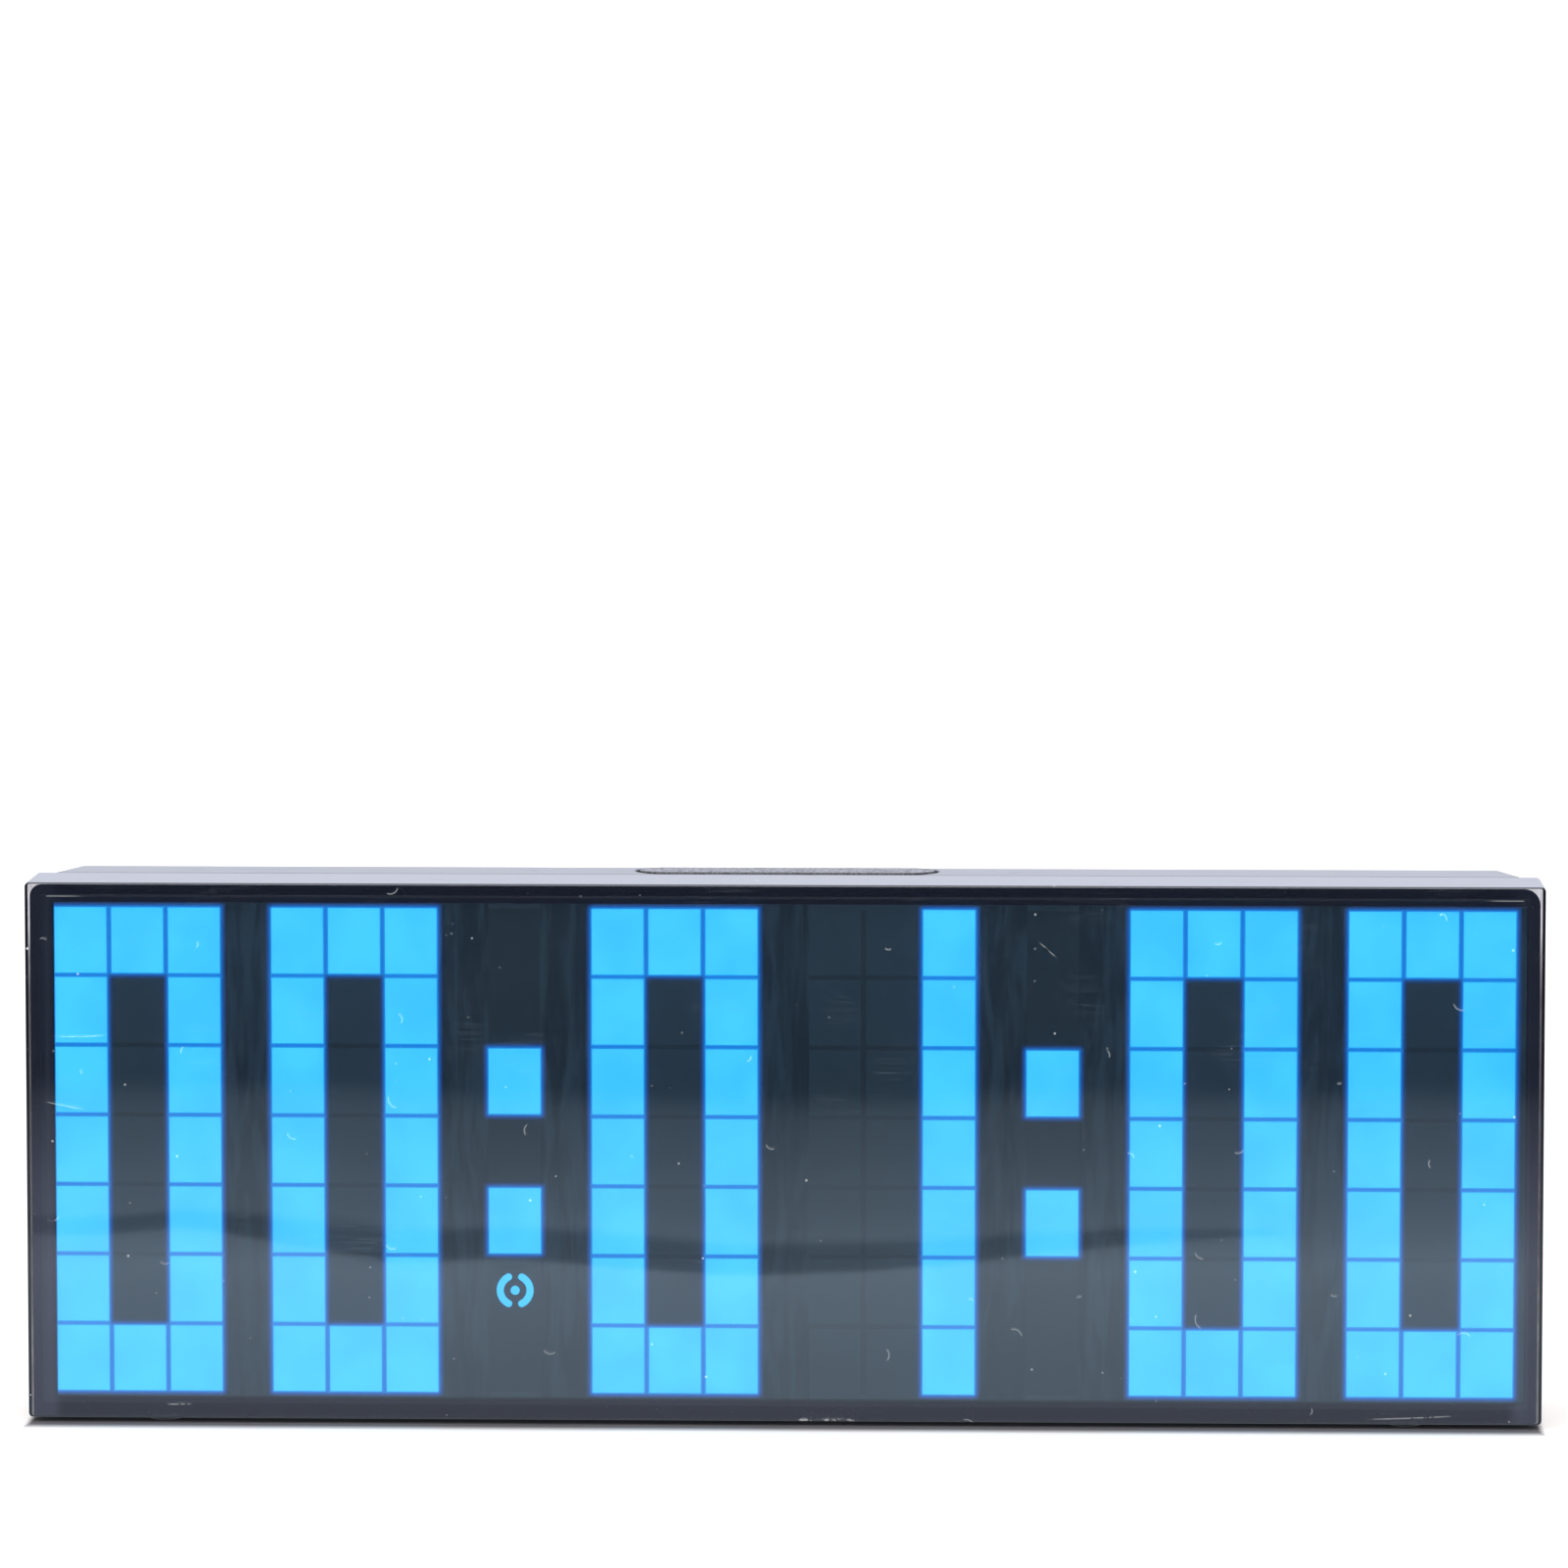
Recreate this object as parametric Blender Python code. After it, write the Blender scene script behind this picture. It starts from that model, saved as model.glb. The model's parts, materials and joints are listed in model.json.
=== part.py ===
"""Digital alarm clock with a lattice of square light cells, as an assembly of separate pieces.

Metres, +Z up. X runs to the right as a viewer sees the display, and the display faces -Y.
The origin is on the resting surface, under the middle of the case.
"""

import math

import bmesh
import bpy
import numpy as np
from mathutils import Matrix, Vector

mm = 0.001

# Case: outer sizes, and the clearances that every piece shares
case_width = 365 * mm
case_height = 130 * mm
front_depth = 23 * mm
rear_depth = 18 * mm
fit_gap = 0.3 * mm
overrun = 1 * mm

case_depth = front_depth + rear_depth
front_y = -case_depth / 2
seam_y = front_y + front_depth
back_y = case_depth / 2

# Rubber feet, which set how high the case stands
foot_proud = 1.2 * mm
foot_radius = 4 * mm
foot_recess = 0.6 * mm
foot_edge = 0.4 * mm
foot_side_inset = 32.5 * mm
foot_front_inset = 7 * mm
foot_back_inset = 8 * mm

foot_x = case_width / 2 - foot_side_inset
case_bottom = foot_proud
case_middle = case_bottom + case_height / 2
case_top = case_bottom + case_height

# Smoked front cover: one moulded tray
face_thickness = 2.4 * mm
front_wall = 3 * mm
front_corner = 2 * mm
front_rim = 1.2 * mm
front_inner_corner = 0.6 * mm
snap_length = 14 * mm
snap_height = 0.5 * mm
snap_width = 1 * mm
snap_x = 95 * mm

face_inner_y = front_y + face_thickness
inside_width = case_width - 2 * front_wall
inside_height = case_height - 2 * front_wall

# Light cells: six digits of three columns and seven rows, and two colons, which fill the inside of the cover
display_side = 3.95 * mm
display_end = 3.28 * mm
cell_gap_x = 1.3 * mm
cell_gap_z = 1.14 * mm
group_gap = 12.5 * mm
digit_columns = 3
digit_rows = 7
colon_rows = (2, 4)
indicator_row = 5
group_names = ("digit_1", "digit_2", "colon_1", "digit_3", "digit_4", "colon_2", "digit_5", "digit_6")

group_columns = [digit_columns if "digit" in name else 1 for name in group_names]
group_gaps = group_gap * (len(group_names) - 1)
column_gaps = cell_gap_x * (sum(group_columns) - len(group_names))
cell_width = (inside_width - 2 * display_side - group_gaps - column_gaps) / sum(group_columns)
cell_height = (inside_height - 2 * display_end - cell_gap_z * (digit_rows - 1)) / digit_rows
pitch_x = cell_width + cell_gap_x
pitch_z = cell_height + cell_gap_z
digit_width = digit_columns * pitch_x - cell_gap_x
display_height = digit_rows * pitch_z - cell_gap_z

# Round indicator mark under the first colon: two arcs and a dot
mark_radius = 3.6 * mm
mark_stroke = 1.7 * mm
mark_dot = 1.1 * mm
mark_arc = math.radians(128)

# Display stack, from the face backwards
film_left_margin = 6.7 * mm
film_right_margin = 4.3 * mm
film_end_margin = 5 * mm
film_thickness = 0.4 * mm
diffuser_thickness = 0.8 * mm
diffuser_margin = 0.2 * mm
pad_depth = 1.5 * mm
grid_depth = 8 * mm
led_board_thickness = 1.6 * mm
led_board_margin = 1.2 * mm
lamp_width = 3.5 * mm
lamp_height = 2.8 * mm
lamp_proud = 1.4 * mm
small_lamp = 1.6 * mm

film_width = case_width - film_left_margin - film_right_margin
film_height = case_height - 2 * film_end_margin
film_shift = (film_left_margin - film_right_margin) / 2
film_y = face_inner_y + fit_gap
diffuser_y = film_y + film_thickness + fit_gap
grid_y = diffuser_y + diffuser_thickness + fit_gap
led_board_y = grid_y + grid_depth + fit_gap
led_board_back = led_board_y + led_board_thickness

# Rear cover: a shell whose sides lean in towards the back
rear_wall = 2.2 * mm
rear_side_inset = 2.6 * mm
rear_side_lean = 5.4 * mm
rear_corner = 2.4 * mm
rear_rim = 1.5 * mm
rear_inner_corner = 1.2 * mm
lip_length = 3.4 * mm
lip_thickness = 1.7 * mm
lip_root = 2.2 * mm

rear_front_y = seam_y + fit_gap
back_inner_y = back_y - rear_wall
lip_front_y = rear_front_y - lip_length

# Case screws, which run through the rear cover and the LED board into the light grid
screw_radius = 1.4 * mm
screw_head_radius = 2.6 * mm
screw_head_height = 1.8 * mm
screw_into_grid = 5.5 * mm
screw_edge = 17 * mm
well_radius = 4.2 * mm
well_floor = 3 * mm
cross_length = 3 * mm
cross_width = 0.7 * mm
cross_depth = 0.9 * mm

screw_z = case_height / 2 - screw_edge
well_seat_y = led_board_back + fit_gap + well_floor

# Snooze bar in the top of the rear cover
bar_length = 72 * mm
bar_width = 12 * mm
bar_proud = 0.3 * mm
bar_crown = 0.5 * mm
bar_travel = 1 * mm
bar_tab_length = 1.6 * mm
bar_tab_width = 8 * mm
bar_tab_height = 1.2 * mm
bar_stem_radius = 1.8 * mm
bar_y = rear_front_y + lip_root + fit_gap + bar_width / 2 + fit_gap

# Snap-dome switches: a square body with a round pocket that a stem dips into
switch_side = 6 * mm
switch_height = 3.5 * mm
pocket_radius = 2.2 * mm
pocket_spare = 0.6 * mm
stem_dip = 1 * mm

pocket_depth = stem_dip + bar_travel + pocket_spare

# Snooze board on its shelf
snooze_board_drop = 12 * mm
snooze_board_length = 26 * mm
snooze_board_width = 10 * mm
snooze_board_thickness = 1.2 * mm
shelf_thickness = 1.6 * mm
shelf_side = 1.5 * mm

# Control board, on four posts of the rear cover
board_left = -121 * mm
board_right = -9 * mm
board_bottom = 24 * mm
board_top = 66 * mm
board_thickness = 1.6 * mm
board_front_y = 8 * mm
post_inset = 4 * mm
post_radius = 3 * mm
post_screw_radius = 1.1 * mm
post_screw_length = 7 * mm
post_head_radius = 2 * mm
post_head_height = 1.4 * mm

board_back_y = board_front_y + board_thickness

# Buttons in a row on the back
button_names = ("set_button", "up_button", "down_button", "alarm_button", "timer_button")
button_first_x = -110 * mm
button_pitch = 16 * mm
button_z = 56 * mm
button_radius = 3.5 * mm
button_flange_radius = 4.5 * mm
button_flange_height = 1 * mm
button_stem_radius = 1.7 * mm
button_edge = 0.5 * mm
button_travel = 0.8 * mm
button_sunk = 0.2 * mm
recess_border = 3.2 * mm

# A cap pushed all the way in sinks just under the floor of the recess
recess_depth = button_travel

# Power socket and the barrel plug that sits in it
jack_x = -100 * mm
jack_z = 31 * mm
jack_radius = 4.5 * mm
jack_nose_radius = 4.1 * mm
jack_bore = 3.05 * mm
jack_floor = 1 * mm
jack_pin_radius = 1 * mm
jack_pin_short = 1.5 * mm
barrel_radius = 2.75 * mm
barrel_bore = 1.25 * mm
barrel_length = 9 * mm
barrel_cap = 0.6 * mm
plug_standoff = 0.5 * mm
plug_length = 20 * mm
plug_radius = 4.8 * mm
plug_end_radius = 3.9 * mm
plug_edge = 0.6 * mm
grip_share = 0.6
relief_length = 16 * mm
relief_start_radius = 3.3 * mm
relief_rib = 0.5 * mm
relief_ribs = 5
groove_share = 0.4

# Backup coin cell behind a round door that turns to open
cell_x = -28 * mm
cell_z = 38 * mm
coin_radius = 10 * mm
coin_thickness = 3.2 * mm
coin_edge = 0.4 * mm
coin_slack = 0.6 * mm
cup_wall = 1.4 * mm
cup_floor = 0.8 * mm
contact_thickness = 0.3 * mm
contact_length = 15 * mm
contact_width = 4 * mm
door_radius = 13 * mm
door_thickness = 1.8 * mm
door_edge = 0.3 * mm
ledge_thickness = 1.6 * mm
ledge_bore = 10.7 * mm
hook_inner = 9.3 * mm
hook_outer = 12.2 * mm
hook_foot = 1.3 * mm
hook_half_angle = math.radians(13)
notch_half_angle = math.radians(17)
door_turn = math.radians(50)
coin_slot_length = 15 * mm
coin_slot_width = 2 * mm
coin_slot_depth = 0.9 * mm

# Buzzer and its sound holes
buzzer_x = -66 * mm
buzzer_z = 38 * mm
buzzer_radius = 6 * mm
buzzer_height = 7.5 * mm
buzzer_hole = 1.2 * mm
sound_hole = 0.9 * mm
sound_ring = 3.4 * mm
sound_count = 6

# Chips and other parts on the two boards
chip_size = (10 * mm, 1.7 * mm, 7.5 * mm)
chip_lead = 1.1 * mm
chip_lead_height = 0.4 * mm
driver_x = {"led_driver_left": -60 * mm, "led_driver_right": 60 * mm}
driver_drop = 39.2 * mm
brain_x = -60 * mm
brain_z = 48 * mm
crystal_size = (2.1 * mm, 2.1 * mm, 6.2 * mm)
crystal_x = -44 * mm
capacitor_radius = 3.2 * mm
capacitor_height = 6 * mm
capacitor_x = -88 * mm
capacitor_z = 46 * mm
socket_size = (12 * mm, 4.5 * mm, 5 * mm)
socket_x = -100 * mm
led_socket_z = 84 * mm
board_socket_z = 62 * mm
ribbon_width = 9 * mm
ribbon_thickness = 0.7 * mm
ribbon_slack = 2.5 * mm
wire_radius = 0.6 * mm
wire_foot_x = -28 * mm
wire_foot_z = 60 * mm
wire_turn = 6 * mm
wire_sag = 7.8 * mm

# Keyholes for hanging on two wall screws
keyhole_x = 90 * mm
keyhole_drop = 35.2 * mm
keyhole_entry = 4.4 * mm
keyhole_neck = 2.4 * mm
keyhole_rise = 10 * mm

keyhole_z = case_top - keyhole_drop

# Cord: a round lead, wound up behind the clock for storage
cord_length = 1200 * mm
cord_radius = 2 * mm
cord_sides_setting = 2
coil_sides_setting = 1
floor_gap = 0.3 * mm
tie_thickness = 1.2 * mm
tie_width = 7 * mm
coil_x = -4 * mm
coil_y = 61 * mm
coil_inner_radius = 16 * mm
coil_turns_per_layer = 3.5
coil_turn_gap = 0.5 * mm
coil_layer_gap = 0.45 * mm
coil_points_per_turn = 24
coil_climb_turns = 0.5
straight_end = 2 * cord_radius

# Plug at the far end of the cord
usb_body_length = 27 * mm
usb_body_width = 15.5 * mm
usb_body_corner = 1.6 * mm
usb_relief_length = 10 * mm
usb_relief_radius = 3.1 * mm
usb_shell_length = 12 * mm
usb_shell_width = 12 * mm
usb_shell_height = 4.5 * mm
usb_shell_wall = 0.5 * mm

# Roundness of turned pieces
fine_sides = 28
plain_sides = 16
small_sides = 10
corner_steps = 3
rim_steps = 3
curve_steps = 24


def clear_scene():
    for old in list(bpy.data.objects):
        bpy.data.objects.remove(old)


def plain_material(name, colour, roughness, metallic=0.0, see_through=0.0):
    """A plain material for one kind of piece."""
    made = bpy.data.materials.new(name)
    made.use_nodes = True
    shader = made.node_tree.nodes["Principled BSDF"]
    shader.inputs["Base Color"].default_value = (*colour, 1)
    shader.inputs["Roughness"].default_value = roughness
    shader.inputs["Metallic"].default_value = metallic
    shader.inputs["Transmission Weight"].default_value = see_through
    return made


def place(name, shape, material, parent=None, smooth=40):
    """Turns a bmesh into a named object of the clock."""
    bmesh.ops.recalc_face_normals(shape, faces=shape.faces)
    mesh = bpy.data.meshes.new(name)
    shape.to_mesh(mesh)
    shape.free()
    mesh.materials.append(material)
    mesh.shade_smooth()
    mesh.set_sharp_from_angle(angle=math.radians(smooth))
    made = bpy.data.objects.new(name, mesh)
    bpy.context.scene.collection.objects.link(made)
    if parent:
        made.parent = parent
        made.matrix_parent_inverse = parent.matrix_world.inverted()
    return made


def helper(name, shape):
    """A shape that only cuts or adds to another one, and isn't part of the clock."""
    bmesh.ops.recalc_face_normals(shape, faces=shape.faces)
    mesh = bpy.data.meshes.new(name)
    shape.to_mesh(mesh)
    shape.free()
    made = bpy.data.objects.new(name, mesh)
    made.hide_render = True
    made.display_type = "WIRE"
    bpy.context.scene.collection.objects.link(made)
    return made


def combine(target, name, shape, operation):
    """Adds or cuts a bmesh with a Boolean modifier."""
    modifier = target.modifiers.new(name, "BOOLEAN")
    modifier.operation = operation
    modifier.solver = "EXACT"
    modifier.object = helper(name, shape)


def cut(target, name, shape):
    combine(target, name, shape, "DIFFERENCE")


def join(target, name, shape):
    combine(target, name, shape, "UNION")


def pivot(name, where):
    """An empty on a joint's axis, which the moving pieces hang from."""
    made = bpy.data.objects.new(name, None)
    made.location = where
    bpy.context.scene.collection.objects.link(made)
    bpy.context.view_layer.update()
    return made


def add_box(shape, centre, size):
    matrix = Matrix.Translation(centre) @ Matrix.Diagonal((*size, 1))
    bmesh.ops.create_cube(shape, size=1, matrix=matrix)


def box_between(shape, low, high):
    """A box from its lowest to its highest corner."""
    low, high = Vector(low), Vector(high)
    add_box(shape, (low + high) / 2, high - low)


def turn_matrix(centre, direction):
    """Puts a profile's own +Z along a direction, at a place."""
    return Matrix.Translation(centre) @ Vector(direction).to_track_quat("Z", "Y").to_matrix().to_4x4()


def add_cylinder(shape, centre, direction, radius, length, sides, end_radius=None):
    """A cylinder or cone that starts at centre and runs along direction."""
    matrix = turn_matrix(centre, direction) @ Matrix.Translation((0, 0, length / 2))
    bmesh.ops.create_cone(
        shape,
        cap_ends=True,
        segments=sides,
        radius1=radius,
        radius2=radius if end_radius is None else end_radius,
        depth=length,
        matrix=matrix,
    )


def add_turned(shape, centre, direction, profile, sides):
    """Spins a profile of (radius, height) points, which starts and ends on the axis or is a closed ring."""
    closed = profile[0][0] > 0
    turned = bmesh.new()
    points = [turned.verts.new((radius, 0, height)) for radius, height in profile]
    pairs = list(zip(points, points[1:]))
    if closed:
        pairs.append((points[-1], points[0]))
    edges = [turned.edges.new(pair) for pair in pairs]
    bmesh.ops.spin(
        turned,
        geom=points + edges,
        axis=(0, 0, 1),
        cent=(0, 0, 0),
        angle=math.tau,
        steps=sides,
        use_merge=True,
    )
    bmesh.ops.remove_doubles(turned, verts=turned.verts, dist=fit_gap / 100)
    bmesh.ops.recalc_face_normals(turned, faces=turned.faces)
    bmesh.ops.transform(turned, matrix=turn_matrix(centre, direction), verts=turned.verts)
    merge_into(shape, turned)


def merge_into(shape, other):
    """Copies a bmesh into another one as a separate body."""
    mesh = bpy.data.meshes.new("joined")
    other.to_mesh(mesh)
    other.free()
    shape.from_mesh(mesh)
    bpy.data.meshes.remove(mesh)


def rounded_outline(width, height, radius, steps=corner_steps):
    """Points of a rectangle with round corners, counter-clockwise, about the origin."""
    points = []
    corners = ((1, 1, 0), (-1, 1, 1), (-1, -1, 2), (1, -1, 3))
    for side_x, side_z, quarter in corners:
        centre_x = side_x * (width / 2 - radius)
        centre_z = side_z * (height / 2 - radius)
        for step in range(steps + 1):
            angle = (quarter + step / steps) * math.pi / 2
            points.append((centre_x + radius * math.cos(angle), centre_z + radius * math.sin(angle)))
    return points


def add_loft(shape, sections):
    """Skins a run of (outline, y) sections that have as many points each, and caps both ends."""
    rings = [[shape.verts.new((x, y, z)) for x, z in outline] for outline, y in sections]
    count = len(rings[0])
    for ring, following in zip(rings, rings[1:]):
        for i in range(count):
            j = (i + 1) % count
            shape.faces.new((ring[i], ring[j], following[j], following[i]))
    shape.faces.new(rings[0])
    shape.faces.new(rings[-1])
    shape.normal_update()


def raised(outline, lift):
    """Moves an outline that is centred on the origin up to the case's middle."""
    return [(x, z + lift) for x, z in outline]


def add_prism(shape, outline, near, far):
    """Extrudes an (x, z) outline along Y."""
    add_loft(shape, [(outline, near), (outline, far)])


def rim_sections(width, height, corner, rim, start_y, inwards):
    """A quarter-round rim, from the inset end face out to the full outline."""
    sections = []
    for step in range(rim_steps + 1):
        angle = step / rim_steps * math.pi / 2
        inset = rim * (1 - math.sin(angle))
        outline = rounded_outline(width - 2 * inset, height - 2 * inset, corner - inset)
        sections.append((raised(outline, case_middle), start_y + inwards * rim * (1 - math.cos(angle))))
    return sections


def ring_sector(inner, outer, middle, half_angle, steps):
    """Outline of a piece of a flat ring about the origin."""
    angles = [middle + half_angle * (2 * step / steps - 1) for step in range(steps + 1)]
    outside = [(outer * math.cos(a), outer * math.sin(a)) for a in angles]
    inside = [(inner * math.cos(a), inner * math.sin(a)) for a in reversed(angles)]
    return outside + inside


def arc(centre_x, centre_z, radius, start, end, steps):
    """Points along an arc, with both its ends."""
    angles = [start + (end - start) * step / steps for step in range(steps + 1)]
    return [(centre_x + radius * math.cos(a), centre_z + radius * math.sin(a)) for a in angles]


def round_ended_arc(radius, stroke, middle, half_angle, steps=8, end_steps=4):
    """Outline of an arc stroke with round ends."""
    half = stroke / 2
    start, end = middle - half_angle, middle + half_angle
    outer = arc(0, 0, radius + half, start, end, steps)
    inner = arc(0, 0, radius - half, end, start, steps)
    far_cap = arc(radius * math.cos(end), radius * math.sin(end), half, end, end + math.pi, end_steps)
    near_cap = arc(
        radius * math.cos(start), radius * math.sin(start), half, start + math.pi, start + math.tau, end_steps
    )
    return outer + far_cap[1:-1] + inner + near_cap[1:-1]


def moved(outline, x, z):
    return [(x + px, z + pz) for px, pz in outline]


def group_lefts():
    """Left edge of each digit and colon, from the widths and the gaps between them."""
    widths = [digit_width if "digit" in name else cell_width for name in group_names]
    left = -(sum(widths) + group_gap * (len(widths) - 1)) / 2
    lefts = {}
    for name, width in zip(group_names, widths):
        lefts[name] = left
        left += width + group_gap
    return lefts


group_left = group_lefts()
web_x = group_left["digit_2"] - group_gap / 2
screw_places = [(x, case_middle + side * screw_z) for x in (web_x, -web_x) for side in (-1, 1)]
colon_x = group_left["colon_1"] + cell_width / 2


def row_z(row):
    """Height of a row's middle; row 0 is the top one."""
    return case_middle + display_height / 2 - cell_height / 2 - row * pitch_z


def cells_of(name):
    """Middles of the light cells of one digit or colon."""
    first = group_left[name] + cell_width / 2
    if "colon" in name:
        return [(first, row_z(row)) for row in colon_rows]
    columns = [first + column * pitch_x for column in range(digit_columns)]
    return [(x, row_z(row)) for x in columns for row in range(digit_rows)]


def mark_outlines(extra):
    """The indicator mark's two arcs and dot; extra widens them for the slots that hold them."""
    stroke = mark_stroke + 2 * extra
    arcs = [round_ended_arc(mark_radius, stroke, side, mark_arc / 2) for side in (0, math.pi)]
    dot = arc(0, 0, mark_dot + extra, 0, math.tau, small_sides)[:-1]
    return [moved(outline, colon_x, row_z(indicator_row)) for outline in (*arcs, dot)]


def make_front_cover(material):
    """The smoked tray that is the face, the rim and the front half of the sides."""
    outer = rounded_outline(case_width, case_height, front_corner)
    inner = rounded_outline(inside_width, inside_height, front_inner_corner)
    sections = rim_sections(case_width, case_height, front_corner, front_rim, front_y, 1)
    sections.append((raised(outer, case_middle), seam_y))
    sections.append((raised(inner, case_middle), seam_y))
    sections.append((raised(inner, case_middle), face_inner_y))
    shape = bmesh.new()
    add_loft(shape, sections)
    cover = place("front_cover", shape, material)
    grooves = bmesh.new()
    for x, side in snap_spots():
        add_box(
            grooves,
            (x, snap_y(), case_middle + side * inside_height / 2),
            (snap_length + 2 * fit_gap, snap_width + 2 * fit_gap, 2 * (snap_height + fit_gap)),
        )
    cut(cover, "front_snap_grooves", grooves)
    cut(cover, "front_foot_recesses", foot_recesses(front_y + foot_front_inset))


def snap_spots():
    """Where the snaps sit along the top and bottom: x and side."""
    return [(x, side) for x in (-snap_x, snap_x) for side in (-1, 1)]


def snap_y():
    return (lip_front_y + rear_front_y) / 2


def foot_recesses(y):
    shape = bmesh.new()
    for x in (-foot_x, foot_x):
        start = (x, y, case_bottom - overrun)
        add_cylinder(shape, start, (0, 0, 1), foot_radius + fit_gap, overrun + foot_recess, plain_sides)
    return shape


def make_feet(material):
    """Four soft pads that stand a little proud of the case's underside."""
    height = foot_proud + foot_recess - fit_gap
    profile = [
        (0, 0),
        (foot_radius - foot_edge, 0),
        (foot_radius, foot_edge),
        (foot_radius, height),
        (0, height),
    ]
    depths = {"front": front_y + foot_front_inset, "rear": back_y - foot_back_inset}
    for depth_name, y in depths.items():
        for side_name, x in (("left", -foot_x), ("right", foot_x)):
            shape = bmesh.new()
            add_turned(shape, (x, y, 0), (0, 0, 1), profile, plain_sides)
            place(f"foot_{depth_name}_{side_name}", shape, material)


def make_display_film(material):
    shape = bmesh.new()
    add_box(
        shape,
        (film_shift, film_y + film_thickness / 2, case_middle),
        (film_width, film_thickness, film_height),
    )
    place("display_film", shape, material)


def make_light_grid(material):
    """The black frame that keeps each cell's light to itself."""
    shape = bmesh.new()
    size = (inside_width - 2 * fit_gap, grid_depth, inside_height - 2 * fit_gap)
    add_box(shape, (0, grid_y + grid_depth / 2, case_middle), size)
    grid = place("light_grid", shape, material)
    holes = bmesh.new()
    near, far = grid_y - overrun, grid_y + grid_depth + overrun
    for name in group_names:
        for x, z in cells_of(name):
            add_box(holes, (x, (near + far) / 2, z), (cell_width, far - near, cell_height))
    for outline in mark_outlines(fit_gap):
        add_prism(holes, outline, near, far)
    for x, z in screw_places:
        start = (x, far, z)
        depth = screw_into_grid + fit_gap + overrun
        add_cylinder(holes, start, (0, -1, 0), screw_radius + fit_gap, depth, small_sides)
    cut(grid, "light_grid_holes", holes)


def make_diffusers(material):
    """Milky moulded plates, one for each digit or colon, with a pad that dips into each hole of the grid."""
    pad_low = diffuser_y + diffuser_thickness / 2
    pad_high = grid_y + pad_depth
    for name in group_names:
        cells = cells_of(name)
        if name == "colon_1":
            cells.append((colon_x, row_z(indicator_row)))
        xs, zs = zip(*cells)
        half_x = cell_width / 2 + diffuser_margin
        half_z = cell_height / 2 + diffuser_margin
        shape = bmesh.new()
        low = (min(xs) - half_x, diffuser_y, min(zs) - half_z)
        box_between(shape, low, (max(xs) + half_x, diffuser_y + diffuser_thickness, max(zs) + half_z))
        plate = place(f"{name}_diffuser", shape, material)
        pads = bmesh.new()
        for x, z in cells_of(name):
            size = (cell_width - 2 * fit_gap, pad_high - pad_low, cell_height - 2 * fit_gap)
            add_box(pads, (x, (pad_low + pad_high) / 2, z), size)
        if name == "colon_1":
            for outline in mark_outlines(0):
                add_prism(pads, outline, pad_low, pad_high)
        join(plate, f"{name}_pads", pads)


def make_led_board(board_material):
    """The board behind the grid, with one lamp soldered on it for each cell."""
    shape = bmesh.new()
    width = inside_width - 2 * led_board_margin
    height = inside_height - 2 * led_board_margin
    middle_y = led_board_y + led_board_thickness / 2
    add_box(shape, (0, middle_y, case_middle), (width, led_board_thickness, height))
    board = place("led_board", shape, board_material)
    holes = bmesh.new()
    length = led_board_thickness + 2 * overrun
    for x, z in screw_places:
        start = (x, led_board_y - overrun, z)
        add_cylinder(holes, start, (0, 1, 0), screw_radius + fit_gap, length, small_sides)
    cut(board, "led_board_holes", holes)
    lamps = bmesh.new()
    depth = lamp_proud + led_board_thickness / 2
    lamp_y = led_board_y - lamp_proud + depth / 2
    for name in group_names:
        for x, z in cells_of(name):
            add_box(lamps, (x, lamp_y, z), (lamp_width, depth, lamp_height))
    add_box(lamps, (colon_x, lamp_y, row_z(indicator_row)), (small_lamp, depth, small_lamp))
    join(board, "led_board_lamps", lamps)


def make_chip(name, x, face_y, towards, z, material):
    """A chip on a board's face: its body, with its two rows of leads as one bar under it."""
    width, thick, height = chip_size
    shape = bmesh.new()
    add_box(shape, (x, face_y + towards * (fit_gap + thick / 2), z), chip_size)
    chip = place(name, shape, material)
    leads = bmesh.new()
    lead_y = face_y + towards * (fit_gap + chip_lead_height / 2)
    size = (width - 2 * fit_gap, chip_lead_height, height + 2 * chip_lead)
    add_box(leads, (x, lead_y, z), size)
    join(chip, f"{name}_leads", leads)


def make_led_drivers(material):
    for name, x in driver_x.items():
        make_chip(name, x, led_board_back, 1, case_top - driver_drop, material)


def post_places():
    """The control board's four posts, from its corners."""
    lefts = (board_left + post_inset, board_right - post_inset)
    heights = (board_bottom + post_inset, board_top - post_inset)
    return [(x, z) for x in lefts for z in heights]


def make_control_board(board_material, chip_material, metal, can_material):
    low = (board_left, board_front_y, board_bottom)
    high = (board_right, board_back_y, board_top)
    shape = bmesh.new()
    box_between(shape, low, high)
    board = place("control_board", shape, board_material)
    holes = bmesh.new()
    for x, z in post_places():
        start = (x, board_front_y - overrun, z)
        length = board_thickness + 2 * overrun
        add_cylinder(holes, start, (0, 1, 0), post_screw_radius + fit_gap, length, small_sides)
    cut(board, "control_board_holes", holes)
    make_chip("microcontroller", brain_x, board_front_y, -1, brain_z, chip_material)
    shape = bmesh.new()
    crystal_y = board_front_y - fit_gap - crystal_size[1] / 2
    add_box(shape, (crystal_x, crystal_y, brain_z), crystal_size)
    place("clock_crystal", shape, metal)
    shape = bmesh.new()
    start = (capacitor_x, board_front_y - fit_gap, capacitor_z)
    add_cylinder(shape, start, (0, -1, 0), capacitor_radius, capacitor_height, small_sides)
    place("power_capacitor", shape, can_material)


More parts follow.
